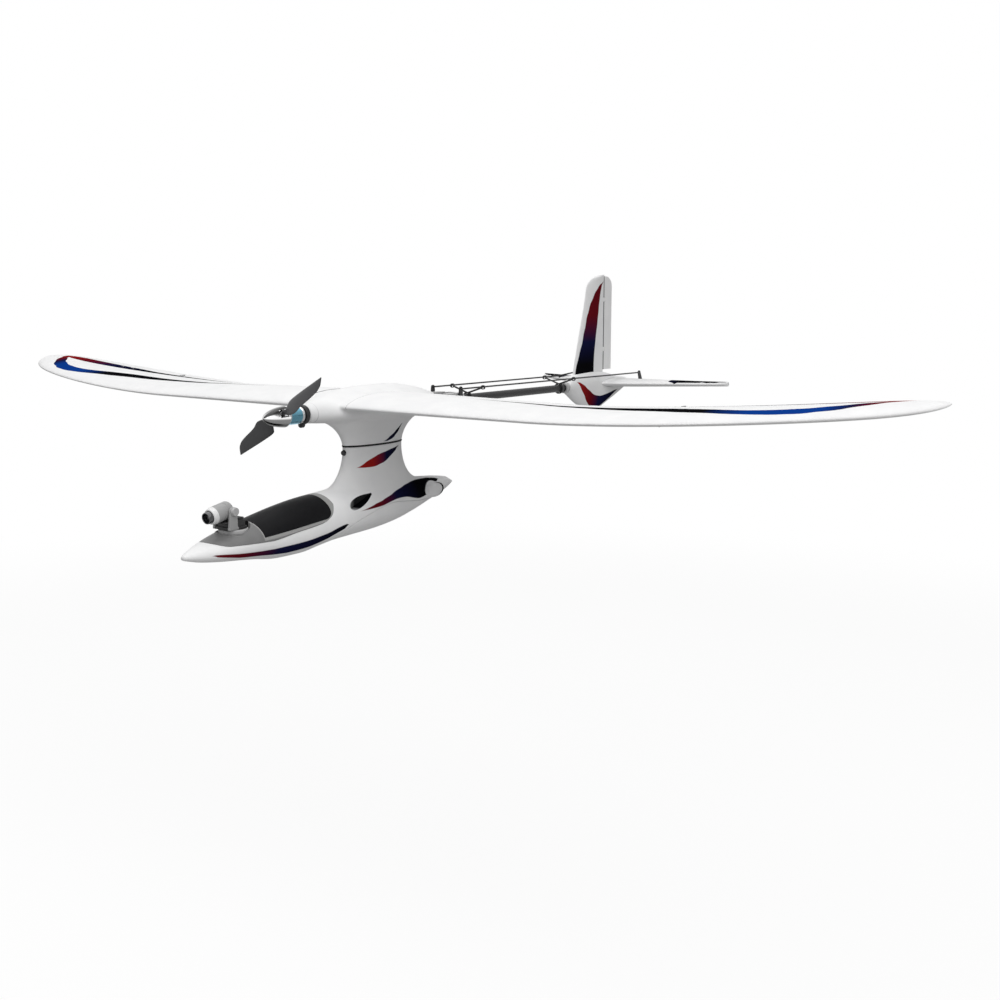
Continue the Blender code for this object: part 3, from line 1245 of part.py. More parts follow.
def build_tray():
    front = TRAY_FRONT_Y
    low, high = AXIS_Z - TRAY_BOTTOM, AXIS_Z + TRAY_TOP
    slant = TRAY_BOTTOM * 0.6
    outline = [(front, low + slant), (front + slant, low)]
    outline += [(TRAY_REAR_Y, low), (TRAY_REAR_Y, high - slant / 2)]
    outline += [(TRAY_REAR_Y - slant, high), (front, high)]
    tray = piece("servo_tray", prism(outline, "X", -TRAY_HALF_WIDTH, TRAY_HALF_WIDTH), TRAY_GREY)
    servo_front, servo_rear = TRAY_REAR_Y - SERVO_BACK - SERVO_LENGTH, TRAY_REAR_Y - SERVO_BACK
    deck = ARM_PIVOT_Z - SERVO_HEIGHT / 2 - CLEAR
    under = deck - SHELF_THICKNESS
    shelf = box((-SHELF_HALF_WIDTH, servo_front, under), (SHELF_HALF_WIDTH, servo_rear, deck))
    join(tray, shelf)
    plug = (0, front - CLEAR - TRAY_SPIGOT_LENGTH, AXIS_Z)
    join(tray, rod(plug, (0, front + slant, AXIS_Z), TRAY_SPIGOT_RADIUS))
    socket = (0, TRAY_REAR_Y - BOOM_SOCKET - CLEAR, AXIS_Z)
    cut(tray, rod(socket, (0, TRAY_REAR_Y + CLEAR, AXIS_Z), BOOM_RADIUS + CLEAR))

    for side, word in ((1, "elevator"), (-1, "rudder")):
        foot = deck + CLEAR
        body = box((SERVO_INNER_X, servo_front, foot), (SERVO_OUTER_X, servo_rear, foot + SERVO_HEIGHT))
        servo = piece(word + "_servo", mirrored(body, side), BLACK_PLASTIC)
        pivot = Vector((side * ARM_INNER_X, ARM_Y, ARM_PIVOT_Z))
        boss_start = Vector((side * (SERVO_OUTER_X - CLEAR), ARM_Y, ARM_PIVOT_Z))
        join(servo, rod(boss_start, pivot - Vector((side * CLEAR, 0, 0)), SERVO_BOSS_RADIUS, 12))
        tip = (ARM_Y, ROD_Z)
        plate = prism(lever((ARM_Y, ARM_PIVOT_Z), ARM_HUB, tip, ARM_TIP), "X", ARM_INNER_X, ARM_OUTER_X)
        arm = piece(word + "_arm", mirrored(plate, side), LIGHT_PLASTIC, pivot)
        cut(arm, rod(*rod_eye(side, tip), ROD_RADIUS + CLEAR, 8))


def rod_eye(side, tip):
    return (side * (ARM_INNER_X - CLEAR), *tip), (side * (ARM_OUTER_X + CLEAR), *tip)


def build_boom():
    start = (0, TRAY_REAR_Y - BOOM_SOCKET, AXIS_Z)
    end = (0, TAIL_Y + BOOM_SEAT, AXIS_Z)
    piece("tail_boom", rod(start, end, BOOM_RADIUS, 20), CARBON)
    inner = BOOM_RADIUS + CLEAR
    outer = inner + COLLAR_WALL
    front = TRAY_REAR_Y + CLEAR
    rear = TAIL_Y - CLEAR - COLLAR_LENGTH
    for y, word in ((front, "front"), (rear, "rear")):
        band = rod((0, y, AXIS_Z), (0, y + COLLAR_LENGTH, AXIS_Z), outer, 20)
        collar = piece("boom_collar_" + word, band, LIGHT_PLASTIC)
        cut(collar, rod(start, end, inner, 20))
    build_guide("front", front + COLLAR_LENGTH + FRONT_GUIDE_GAP)
    build_guide("rear", rear - REAR_GUIDE_GAP)


def build_guide(word, y):
    """Clip on the boom with two raised eyes, one for each long rod."""
    inner = BOOM_RADIUS + CLEAR
    half = Vector((0, EYE_LENGTH / 2, 0))
    middle = Vector((0, y, AXIS_Z))
    clip = rod(middle - half, middle + half, inner + COLLAR_WALL, 16)
    guide = piece("rod_guide_" + word, clip, BLACK_PLASTIC)
    eye_radius = ROD_RADIUS + GUIDE_DIP / 2 + CLEAR
    for side in (-1, 1):
        eye = Vector((side * ROD_X, y, ROD_Z - GUIDE_DIP / 2))
        foot = middle + Vector((0, 0, BOOM_RADIUS + COLLAR_WALL / 2))
        reach = eye + (foot - eye).normalized() * (eye_radius + EYE_WALL / 2)
        join(guide, rod(foot, reach, GUIDE_LEG, 6), rod(eye - half, eye + half, eye_radius + EYE_WALL, 10))
        cut(guide, rod(eye - 2 * half, eye + 2 * half, eye_radius, 10))
    cut(guide, rod(middle - 2 * half, middle + 2 * half, inner, 16))


def build_rods():
    inside = ARM_INNER_X - ROD_RADIUS
    tip = (ARM_Y, ROD_Z)
    far = (ELEVATOR_Y, ROD_Z)
    run = [(inside, *tip), (ROD_X, *tip), (ROD_X, *far), (inside, *far)]
    wire("elevator_rod", rounded(run, 2 * ROD_RADIUS), ROD_RADIUS, CARBON, (ARM_INNER_X, *tip))

    horn_z = AXIS_Z + RUDDER_BOTTOM + RUDDER_HORN_UP
    level = horn_z - RUDDER_ROD_DROP
    eye = Vector((-RUDDER_HORN_RADIUS, RUDDER_Y, level))
    run = [(-inside, *tip), (-ROD_X, *tip), (-ROD_X, TAIL_Y + FAIRING_LENGTH * 0.1, ROD_Z)]
    run += [(eye.x, RUDDER_Y - RUDDER_HORN_RADIUS, level), eye, eye + Vector((0, 0, 2 * RUDDER_ROD_DROP))]
    wire("rudder_rod", rounded(run, 2 * ROD_RADIUS), ROD_RADIUS, CARBON, (-ARM_INNER_X, *tip))


# Tail


def fairing_ring(share):
    y = TAIL_Y + FAIRING_LENGTH * share
    up, down, half = smooth(FAIRING_TOP, share), smooth(FAIRING_BOTTOM, share), smooth(FAIRING_SIDE, share)
    ring = []
    for k in range(FAIRING_SIDES):
        angle = math.tau * (k + 0.5) / FAIRING_SIDES
        reach = up if math.sin(angle) > 0 else down
        ring.append((half * math.cos(angle), y, AXIS_Z + reach * math.sin(angle)))
    return ring


def slab_half(share, half):
    """Half thickness of a tail surface at a share of its chord."""
    if share < THICKEST:
        return max(TAIL_EDGE_HALF, half * math.sqrt(max(0.0, 1 - (1 - share / THICKEST) ** 2)))
    return half + (TAIL_EDGE_HALF - half) * (share - THICKEST) / (1 - THICKEST)


def slab_ring(lead, trail, half, last=1.0):
    """Outline of a tail surface from its leading edge to a share of its chord."""
    shares = [last * (k / TAIL_STEPS) ** 1.5 for k in range(TAIL_STEPS + 1)]
    upper = [(lead + (trail - lead) * s, slab_half(s, half)) for s in shares[::-1]]
    return upper + [(y, -h) for y, h in upper[::-1]]


def fin_half(level):
    return FIN_HALF_ROOT + (FIN_HALF_TIP - FIN_HALF_ROOT) * level / FIN_TOP


def fin_body(grow, foot):
    """Fin from its foot to its tip; its rear wall stands ahead of the rudder's round nose."""
    rings = []
    trail = RUDDER_HINGE + RUDDER_CHORD
    for k in range(FIN_LEVELS + 1):
        share = k / FIN_LEVELS
        level = foot + (FIN_TOP - foot) * math.sin(math.pi / 2 * share)
        lead = smooth(FIN_LEAD, level) - grow
        wall = RUDDER_HINGE - rudder_nose(level) - FLAP_GAP + grow
        ring = slab_ring(lead, trail, fin_half(level) + grow, (wall - lead) / (trail - lead))
        rings.append([(h, TAIL_Y + y, AXIS_Z + level) for y, h in ring])
    return loft(rings)


def rudder_nose(level):
    lead = smooth(FIN_LEAD, min(level, FIN_TOP - RUDDER_ROUND))
    trail = RUDDER_HINGE + RUDDER_CHORD
    return slab_half((RUDDER_HINGE - lead) / (trail - lead), fin_half(level))


def rudder_body():
    rings = []
    straight = RUDDER_TOP - RUDDER_ROUND
    levels = [RUDDER_BOTTOM + (straight - RUDDER_BOTTOM) * k / 4 for k in range(4)]
    levels += [straight + RUDDER_ROUND * math.sin(math.pi / 2 * k / 4) for k in range(5)]
    for level in levels:
        over = max(0.0, (level - straight) / RUDDER_ROUND)
        chord = RUDDER_CHORD * (0.25 + 0.75 * math.sqrt(max(0.0, 1 - over**2)))
        nose = rudder_nose(level)

        def skin(y, side, chord=chord, nose=nose):
            return side * (nose + (TAIL_EDGE_HALF - nose) * max(0.0, y - RUDDER_HINGE) / chord)

        ring = flap_ring(RUDDER_HINGE, RUDDER_HINGE + chord, skin)
        rings.append([(h, TAIL_Y + y, AXIS_Z + level) for y, h in ring])
    return loft(rings)


def tailplane_half(x):
    return TAILPLANE_HALF_ROOT + (TAILPLANE_HALF_TIP - TAILPLANE_HALF_ROOT) * abs(x) / TAILPLANE_HALF_SPAN


def tailplane_skin(x, y, side):
    lead, trail = smooth(TAILPLANE_LEAD, abs(x)), smooth(TAILPLANE_TRAIL, abs(x))
    return TAILPLANE_Z + side * slab_half((y - lead) / (trail - lead), tailplane_half(x))


def tailplane_body(grow):
    tip = TAILPLANE_HALF_SPAN
    stations = [0.0, 0.12, 0.35, 0.62, 0.868, 0.93, 0.975, 1.0]
    spans = [-tip * s for s in stations[:0:-1]] + [tip * s for s in stations]
    rings = []
    for x in spans:
        lead, trail = smooth(TAILPLANE_LEAD, abs(x)) - grow, smooth(TAILPLANE_TRAIL, abs(x))
        ring = slab_ring(lead, trail, tailplane_half(x) + grow)
        rings.append([(x, TAIL_Y + y, AXIS_Z + TAILPLANE_Z + h) for y, h in ring])
    return loft(rings)


def elevator_nose(x):
    return (tailplane_skin(x, ELEVATOR_HINGE, 1) - tailplane_skin(x, ELEVATOR_HINGE, -1)) / 2


def elevator_body():
    rings = []
    for share in (-1.0, -0.6, -0.2, 0.2, 0.6, 1.0):
        x = share * ELEVATOR_HALF_SPAN
        trail = smooth(TAILPLANE_TRAIL, abs(x))
        ring = flap_ring(ELEVATOR_HINGE, trail, lambda y, side, x=x: tailplane_skin(x, y, side))
        rings.append([(x, TAIL_Y + y, AXIS_Z + h) for y, h in ring])
    return loft(rings)


def elevator_gap():
    outer = ELEVATOR_HALF_SPAN + FLAP_GAP
    wall = [(x, ELEVATOR_Y - elevator_nose(x) - FLAP_GAP) for x in (-outer, 0.0, outer)]
    behind = TAIL_Y + TAILPLANE_TRAIL[0][1] + RUDDER_CHORD
    return prism([*wall, (outer, behind), (-outer, behind)], "Z", 0.0, 2 * AXIS_Z)


def build_tail():
    fairing = piece("tail_fairing", loft([fairing_ring(share) for share in spread(FAIRING_STATIONS)]), FOAM)
    cut(fairing, tailplane_body(CLEAR), fin_body(CLEAR, FIN_FOOT - CLEAR))
    seat = (0, TAIL_Y + BOOM_SEAT + CLEAR, AXIS_Z)
    cut(fairing, rod((0, TAIL_Y - CLEAR, AXIS_Z), seat, BOOM_RADIUS + CLEAR, 20))

    fin = piece("fin", fin_body(0.0, FIN_FOOT), FOAM)
    axis = Vector((0, RUDDER_Y, AXIS_Z + RUDDER_BOTTOM))
    rudder = piece("rudder", rudder_body(), FOAM, axis)
    for share in (0.22, 0.75):
        level = RUDDER_BOTTOM + (RUDDER_TOP - RUDDER_BOTTOM) * share
        point = Vector((0, RUDDER_Y, AXIS_Z + level))
        add_hinge(fin, rudder, point, Vector((0, 0, 1)), Vector((0, 1, 0)), rudder_nose(level))
    build_rudder_horn(rudder)

    plane = piece("tailplane", tailplane_body(0.0), FOAM)
    cut(plane, elevator_gap())
    pivot = Vector((0, ELEVATOR_Y, ARM_PIVOT_Z))
    elevator = piece("elevator", elevator_body(), FOAM, pivot)
    for share in (-0.7, 0.7):
        point = pivot + Vector((share * ELEVATOR_HALF_SPAN, 0, 0))
        add_hinge(plane, elevator, point, Vector((1, 0, 0)), Vector((0, 1, 0)), elevator_nose(point.x))

    hinge = (ELEVATOR_Y, ARM_PIVOT_Z)
    depth = elevator_nose(ARM_INNER_X) * 0.5
    eye = (ELEVATOR_Y, ROD_Z)
    cut(elevator, horn_slot(hinge, eye, depth, ARM_INNER_X, ARM_OUTER_X))
    form = prism(horn_outline(hinge, eye, depth), "X", ARM_INNER_X, ARM_OUTER_X)
    horn = piece("elevator_horn", form, BLACK_PLASTIC, pivot)
    cut(horn, rod(*rod_eye(1, eye), ROD_RADIUS + CLEAR, 8))


def build_rudder_horn(rudder):
    """Flat horn out to the right, with a wide eye for the upright end of its rod."""
    low = AXIS_Z + RUDDER_BOTTOM + RUDDER_HORN_UP
    high = low + HORN_THICKNESS
    play = ROD_RADIUS + RUDDER_ROD_PLAY + CLEAR
    start, end = RUDDER_Y + HORN_FOOT_START, RUDDER_Y + HORN_FOOT_START + HORN_FOOT
    depth = rudder_nose(RUDDER_BOTTOM) * 0.4
    eye = (-RUDDER_HORN_RADIUS, RUDDER_Y)
    outline = hull([(-depth, start), (-depth, end), *circle(eye, play + EYE_WALL)])
    horn = piece("rudder_horn", prism(outline, "Z", low, high), BLACK_PLASTIC, (0, RUDDER_Y, low))
    cut(horn, rod((*eye, low - CLEAR), (*eye, high + CLEAR), play, 12))
    outside = -RUDDER_HORN_RADIUS
    cut(rudder, box((outside, start - CLEAR, low - CLEAR), (CLEAR - depth, end + CLEAR, high + CLEAR)))


def main():
    clear_scene()
    build_pod()
    build_cockpit()
    build_equipment()
    build_nacelle()
    build_wing(1, "left")
    build_wing(-1, "right")
    build_wing_fittings()
    build_drive()
    build_camera()
    build_tray()
    build_boom()
    build_rods()
    build_tail()


main()
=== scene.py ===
# %% [markdown]
# # A camera glider, dressed for the studio
# The frame that is loaded here is the machine itself: every solid and every joint of a powered glider.
# This lesson puts the finished surfaces on it. Moulded foam, a smoked canopy, polished aluminium and
# carbon all want smoother shapes than the solids have, so most outer pieces are modelled again on the
# same measures and then stand in for the solids.

import math

import bmesh
import bpy
from mathutils import Matrix, Quaternion, Vector


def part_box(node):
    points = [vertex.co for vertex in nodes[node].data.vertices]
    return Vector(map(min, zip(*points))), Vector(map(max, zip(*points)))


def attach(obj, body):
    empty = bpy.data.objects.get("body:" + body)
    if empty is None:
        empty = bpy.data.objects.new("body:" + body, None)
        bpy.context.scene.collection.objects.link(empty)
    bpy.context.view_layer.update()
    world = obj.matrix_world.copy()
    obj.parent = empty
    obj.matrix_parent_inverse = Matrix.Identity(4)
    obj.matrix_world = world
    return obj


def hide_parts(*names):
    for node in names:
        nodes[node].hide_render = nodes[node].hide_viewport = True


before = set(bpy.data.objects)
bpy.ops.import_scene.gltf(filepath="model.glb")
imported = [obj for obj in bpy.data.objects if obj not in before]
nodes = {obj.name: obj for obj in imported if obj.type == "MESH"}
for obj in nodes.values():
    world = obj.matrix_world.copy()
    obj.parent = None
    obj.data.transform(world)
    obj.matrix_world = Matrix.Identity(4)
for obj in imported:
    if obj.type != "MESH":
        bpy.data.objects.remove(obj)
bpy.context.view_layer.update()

# %% [markdown]
# ## Camera
# The view is from ahead and to the left of the nose, almost level with the wing. A camera can be aimed
# with a Track To constraint, but a turn worked out once from the view direction keeps the file plain.
# The lens shift slides the picture without tilting the machine, and a hair of roll gives it the slight
# bank that it has in flight.

# %% Camera
VIEW_TURN = math.radians(35.8765)
VIEW_RISE = math.radians(4.558)
VIEW_ROLL = math.radians(0.4)
VIEW_DISTANCE = 1.2814
VIEW_CENTRE = Vector((0, 0.0165, 0.115))

toward_viewer = Vector((
    math.sin(VIEW_TURN) * math.cos(VIEW_RISE),
    -math.cos(VIEW_TURN) * math.cos(VIEW_RISE),
    math.sin(VIEW_RISE),
))
bpy.ops.object.select_all(action="DESELECT")
bpy.ops.object.camera_add(location=VIEW_CENTRE + toward_viewer * VIEW_DISTANCE)
viewer = bpy.context.object
turn = toward_viewer.to_track_quat("Z", "Y") @ Quaternion((0, 0, 1), VIEW_ROLL)
viewer.rotation_euler = turn.to_euler()
viewer.data.sensor_width = 36
viewer.data.lens = 46.195
viewer.data.shift_x = 0.02795
viewer.data.shift_y = -0.10266
bpy.context.scene.camera = viewer
bpy.context.scene.view_settings.view_transform = "Standard"
print("camera at", [round(c, 3) for c in viewer.location])

# %% [markdown]
# ## Modelling helpers
# Most of the outer shapes are skins pulled over ribs, the way a hull is planked. By hand one would add a
# circle, extrude it, scale it and move it, rib after rib. The helper below does just that and reads each
# rib's points from a list, so that the same measures serve the solid and the skin.

# %% Skins over ribs


def pick(body):
    bpy.ops.object.select_all(action="DESELECT")
    body.select_set(True)
    bpy.context.view_layer.objects.active = body


def named(name):
    made = bpy.context.object
    made.name = name
    made.data.name = name
    return made


def outward(body):
    """Merge doubled points and turn every face outwards."""
    pick(body)
    bpy.ops.object.mode_set(mode="EDIT")
    bpy.ops.mesh.select_all(action="SELECT")
    bpy.ops.mesh.remove_doubles(threshold=0.000002)
    bpy.ops.mesh.normals_make_consistent(inside=False)
    bpy.ops.object.mode_set(mode="OBJECT")
    return body


def skin(name, ribs):
    """A circle extruded from rib to rib, with both ends filled."""
    bpy.ops.object.select_all(action="DESELECT")
    bpy.ops.mesh.primitive_circle_add(vertices=len(ribs[0]))
    made = named(name)
    bpy.ops.object.mode_set(mode="EDIT")
    form = bmesh.from_edit_mesh(made.data)
    place = form.verts.layers.int.new("place")
    for k, point in enumerate(form.verts):
        point[place] = k
    for step, rib in enumerate(ribs):
        if step:
            bpy.ops.mesh.extrude_edges_indiv()
        form = bmesh.from_edit_mesh(made.data)
        place = form.verts.layers.int["place"]
        for point in form.verts:
            if point.select:
                point.co = rib[point[place]]
    bmesh.update_edit_mesh(made.data)
    bpy.ops.mesh.edge_face_add()
    bpy.ops.mesh.select_all(action="DESELECT")
    bpy.ops.mesh.select_mode(type="EDGE")
    bpy.ops.mesh.select_non_manifold()
    bpy.ops.mesh.edge_face_add()
    bpy.ops.mesh.select_mode(type="VERT")
    form = bmesh.from_edit_mesh(made.data)
    form.verts.layers.int.remove(form.verts.layers.int["place"])
    bpy.ops.object.mode_set(mode="OBJECT")
    return outward(made)


# %% [markdown]
# Round pieces are lathe work: a profile is drawn point by point with Extrude and then spun about an axis. One
# could start from a cylinder, but a profile also holds grooves, rims and eased edges. A round bar is the
# same with a short profile.

# %% Lathe work


def turned(name, profile, centre, toward, steps=64):
    """Lathe work: points of radius and height, spun about an axis."""
    bpy.ops.object.select_all(action="DESELECT")
    bpy.ops.mesh.primitive_plane_add(size=1)
    made = named(name)
    bpy.ops.object.mode_set(mode="EDIT")
    bpy.ops.mesh.merge(type="CENTER")
    points = [Vector((radius, 0, height)) for radius, height in profile]
    bpy.ops.transform.translate(value=points[0])
    for before, after in zip(points, points[1:]):
        bpy.ops.mesh.extrude_vertices_move(TRANSFORM_OT_translate={"value": after - before})
    bpy.ops.mesh.select_all(action="SELECT")
    bpy.ops.mesh.spin(steps=steps, angle=math.tau, center=(0, 0, 0), axis=(0, 0, 1))
    bpy.ops.object.mode_set(mode="OBJECT")
    turn = Vector(toward).to_track_quat("Z", "Y").to_matrix().to_4x4()
    made.data.transform(Matrix.Translation(centre) @ turn)
    return outward(made)


def bar(name, start, end, radius, edge=0.0, sides=48):
    """A round bar between two points, with its rims eased."""
    start, end = Vector(start), Vector(end)
    reach = (end - start).length
    edge = min(edge, radius / 2, reach / 2)
    foot = [(0, 0), (radius, 0)]
    if edge:
        ease = edge * 0.3
        foot = [(0, 0), (radius - edge, 0), (radius - ease, ease), (radius, edge)]
    profile = foot + [(out, reach - up) for out, up in foot[::-1]]
    return turned(name, profile, start, end - start, sides)


# %% [markdown]
# A flat piece starts as a filled circle: its points are moved onto an outline, and Extrude pulls it to its
# thickness. A box starts as a cube that is stretched between two corners and bevelled.

# %% Plates and blocks


def plate(name, outline, axis, low, high):
    """A flat outline pulled to a thickness along one axis."""
    bpy.ops.object.select_all(action="DESELECT")
    bpy.ops.mesh.primitive_circle_add(vertices=len(outline), fill_type="NGON")
    made = named(name)
    lift = {"X": (1, 0, 0), "Y": (0, 1, 0), "Z": (0, 0, 1)}[axis]
    for point, (a, b) in zip(made.data.vertices, outline):
        point.co = {"X": (low, a, b), "Y": (a, low, b), "Z": (a, b, low)}[axis]
    bpy.ops.object.mode_set(mode="EDIT")
    bpy.ops.mesh.select_all(action="SELECT")
    travel = Vector(lift) * (high - low)
    bpy.ops.mesh.extrude_region_move(TRANSFORM_OT_translate={"value": travel})
    bpy.ops.object.mode_set(mode="OBJECT")
    return outward(made)


def block(name, low, high, edge=0.0, segments=3):
    """A box with rounded edges between two corners."""
    low, high = Vector(low), Vector(high)
    bpy.ops.object.select_all(action="DESELECT")
    bpy.ops.mesh.primitive_cube_add(size=1)
    made = named(name)
    bpy.ops.object.mode_set(mode="EDIT")
    bpy.ops.transform.resize(value=high - low)
    bpy.ops.transform.translate(value=(low + high) / 2)
    if edge:
        bpy.ops.mesh.bevel(offset=edge, segments=segments)
    bpy.ops.object.mode_set(mode="OBJECT")
    return made


# %% [markdown]
# ## Cutting, joining and handing over
# A Boolean modifier joins or cuts two bodies, as a saw or a weld would. It is applied at once, so each
# piece ends as a plain mesh. Each finished piece then rides on one body of the machine and stands in for
# the solids that it covers.

# %% Booleans, modifiers and the hand-over


def carve(body, tool, how="DIFFERENCE", solver="EXACT"):
    """Cut the tool from the body, weld it on or keep what they share; the tool is used up."""
    pick(body)
    step = body.modifiers.new("carve", "BOOLEAN")
    step.operation = how
    step.solver = solver
    step.object = tool
    bpy.ops.object.modifier_apply(modifier=step.name)
    bpy.data.objects.remove(tool, do_unlink=True)
    return body


def modify(body, kind, **settings):
    pick(body)
    step = body.modifiers.new(kind.lower(), kind)
    for key, value in settings.items():
        setattr(step, key, value)
    bpy.ops.object.modifier_apply(modifier=step.name)
    return body


def duplicate(body, name):
    pick(body)
    bpy.ops.object.duplicate()
    return named(name)


def mirrored(body, side):
    if side < 0:
        body.data.transform(Matrix.Diagonal((-1, 1, 1, 1)))
        body.data.flip_normals()
    return body


def hand_over(piece, body, finish, slot, *covers, crease=35):
    pick(piece)
    bpy.ops.object.shade_smooth_by_angle(angle=math.radians(crease))
    piece.data.materials.clear()
    piece.data.materials.append(finish)
    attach(piece, body)
    for node in covers:
        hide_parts(node)
    print(piece.name, "on", body, "-", len(piece.data.polygons), "faces")
    return piece


# %% [markdown]
# ## Curves through a few measures
# The outline of the pod or of the wing is a handful of measures. A smooth run between them that never
# overshoots keeps the skin fair, as a bent batten does on a drawing board.

# %% Battens


def batten(points, at):
    """Value on a smooth run through the points."""
    if at <= points[0][0]:
        return points[0][1]
    if at >= points[-1][0]:
        return points[-1][1]
    steps = [b[0] - a[0] for a, b in zip(points, points[1:])]
    slopes = [(b[1] - a[1]) / step for a, b, step in zip(points, points[1:], steps)]
    tangents = [slopes[0]]
    for before, after in zip(slopes, slopes[1:]):
        tangents.append(2 * before * after / (before + after) if before * after > 0 else 0.0)
    tangents.append(slopes[-1])
    k = max(i for i in range(len(steps)) if points[i][0] <= at)
    share = (at - points[k][0]) / steps[k]
    rise = points[k][1] * (1 + 2 * share) * (1 - share) ** 2 + points[k + 1][1] * share**2 * (3 - 2 * share)
    lean = tangents[k] * share * (1 - share) ** 2 - tangents[k + 1] * share**2 * (1 - share)
    return rise + lean * steps[k]


def spread(count):
    """Shares from 0 to 1, closer together at both ends."""
    return [0.5 - 0.5 * math.cos(math.pi * k / count) for k in range(count + 1)]


def even(count):
    return [k / count for k in range(count + 1)]


def oval(y, z, half_width, up, down, sides=72):
    """Rib of two half ellipses, the upper and the lower with their own heights."""
    rib = []
    for k in range(sides):
        angle = math.tau * (k + 0.5) / sides
        reach = up if math.sin(angle) > 0 else down
        rib.append((half_width * math.cos(angle), y, z + reach * math.sin(angle)))
    return rib


# %% [markdown]
# ## Shader maths
# A finish is easier to read as a sum than as a web of links. The small class below wraps one output, so
# that plus, minus and times add their own Math nodes.

# %% Values


class Value:
    """One output of a node tree that takes part in sums."""

    def __init__(self, finish, socket):
        self.finish = finish
        self.socket = socket

    def math(self, operation, other=0.0, swap=False, clamp=False):
        first, second = (other, self) if swap else (self, other)
        settings = {"operation": operation, "use_clamp": clamp}
        return self.finish.node("ShaderNodeMath", settings, {0: first, 1: second})

    def __add__(self, other):
        return self.math("ADD", other)

    def __radd__(self, other):
        return self.math("ADD", other)

    def __sub__(self, other):
        return self.math("SUBTRACT", other)

    def __rsub__(self, other):
        return self.math("SUBTRACT", other, swap=True)

    def __mul__(self, other):
        return self.math("MULTIPLY", other)

    def __rmul__(self, other):
        return self.math("MULTIPLY", other)

    def __abs__(self):
        return self.math("ABSOLUTE")

    def clamp(self):
        return self.math("MULTIPLY", 1.0, clamp=True)

    def over(self, limit):
        return self.math("GREATER_THAN", limit)


# %% [markdown]
# Every other node comes from one method. It takes the node's type, its settings, which are set first, and
# what goes into its sockets: a plain value, or the output of another node.

# %% Nodes


class Nodes:
    """A node tree whose nodes all come from one method."""

    def __init__(self, tree):
        self.tree = tree

    def node(self, kind, settings=None, inputs=None, out=0):
        made = self.tree.nodes.new(kind)
        for key, value in (settings or {}).items():
            if key == "stops":
                self.set_stops(made.color_ramp, value)
            else:
                setattr(made, key, value)
        for key, value in (inputs or {}).items():
            if isinstance(value, Value):
                self.tree.links.new(value.socket, made.inputs[key])
            else:
                made.inputs[key].default_value = value
        return Value(self, made.outputs[out])

    def set_stops(self, ramp, stops):
        while len(ramp.elements) < len(stops):
            ramp.elements.new(1.0)
        for element, (place, colour) in zip(ramp.elements, stops):
            element.position = place
            element.color = (*colour, 1.0)


# %% [markdown]
# A finish is a material with one Principled shader. Patterns read Object coordinates, and each piece has its
# origin at the origin of the machine, so a stripe is drawn by the machine's own measures.

# %% Finishes


class Finish(Nodes):
    """A material with one Principled shader; constants are set on its own sockets."""

    def __init__(self, name, **constants):
        self.material = bpy.data.materials.new(name)
        self.material.use_nodes = True
        super().__init__(self.material.node_tree)
        self.shader = self.tree.nodes["Principled BSDF"]
        for key, value in constants.items():
            self.shader.inputs[key.replace("_", " ")].default_value = value
        self.spot = self.node("ShaderNodeTexCoord", out="Object")
        split = self.node("ShaderNodeSeparateXYZ", None, {0: self.spot})
        outputs = split.socket.node.outputs
        self.x, self.y, self.z = (Value(self, outputs[k]) for k in range(3))

    def feed(self, **sockets):
        for key, value in sockets.items():
            self.tree.links.new(value.socket, self.shader.inputs[key.replace("_", " ")])
        return self

    def noise(self, scale, detail=3.0, stretch=None):
        spot = self.spot
        if stretch:
            spot = self.node("ShaderNodeMapping", None, {"Vector": spot, "Scale": stretch})
        return self.node("ShaderNodeTexNoise", None, {"Vector": spot, "Scale": scale, "Detail": detail})

    def mix(self, mask, first, second):
        return self.node("ShaderNodeMix", {"data_type": "RGBA"}, {0: mask, 6: first, 7: second}, out=2)

    def bump(self, height, strength, distance):
        inputs = {"Strength": strength, "Distance": distance, "Height": height}
        return self.node("ShaderNodeBump", None, inputs)

    def share(self, along, first, last):
        inputs = {"Value": along, "From Min": first, "From Max": last}
        return self.node("ShaderNodeMapRange", None, inputs)

    def ramp(self, along, stops, smooth=False):
        """Colour that follows stops of place and colour."""
        first, last = stops[0][0], stops[-1][0]
        places = [((place - first) / (last - first), colour) for place, colour in stops]
        made = self.node("ShaderNodeValToRGB", {"stops": places}, {0: self.share(along, first, last)})
        made.socket.node.color_ramp.interpolation = "CARDINAL" if smooth else "LINEAR"
        return made

    def track(self, along, stops):
        """Number that follows stops of place and value."""
        values = [value for _, value in stops]
        low, span = min(values), max(max(values) - min(values), 1e-9)
        greys = [(place, ((value - low) / span,) * 3) for place, value in stops]
        return self.ramp(along, greys, smooth=True) * span + low

    def stripe(self, along, across, stops, soft=0.0005):
        """1 inside a tapering stripe; each stop is its place, its middle and its half width."""
        middle = self.track(along, [(place, centre) for place, centre, _ in stops])
        half = self.track(along, [(place, width) for place, _, width in stops])
        inside = half - abs(across - middle)
        return (inside * (1 / soft)).clamp()


# %% [markdown]
# ## Floor and light
# A pale sweep of paper and a white sky are what the camera, the mirrors and the glass see. One could light
# with many lamps; a big soft lamp overhead, a second one from the front and a dim sky give foam its bright
# tops and its grey undersides without burning anything out. The sky is white where it is seen and dim
# where it lights.

# %% Sky
SKY_STRENGTH = 0.28
WHITE = (1.0, 1.0, 1.0, 1.0)


def seen_directly(made):
    """1 for the camera, for mirrors and through glass; 0 for the light that falls on the object."""
    total = made.node("ShaderNodeLightPath", out="Is Camera Ray")
    outputs = total.socket.node.outputs
    for word in ("Is Glossy Ray", "Is Transmission Ray"):
        total = total.math("MAXIMUM", Value(made, outputs[word]))
    return total


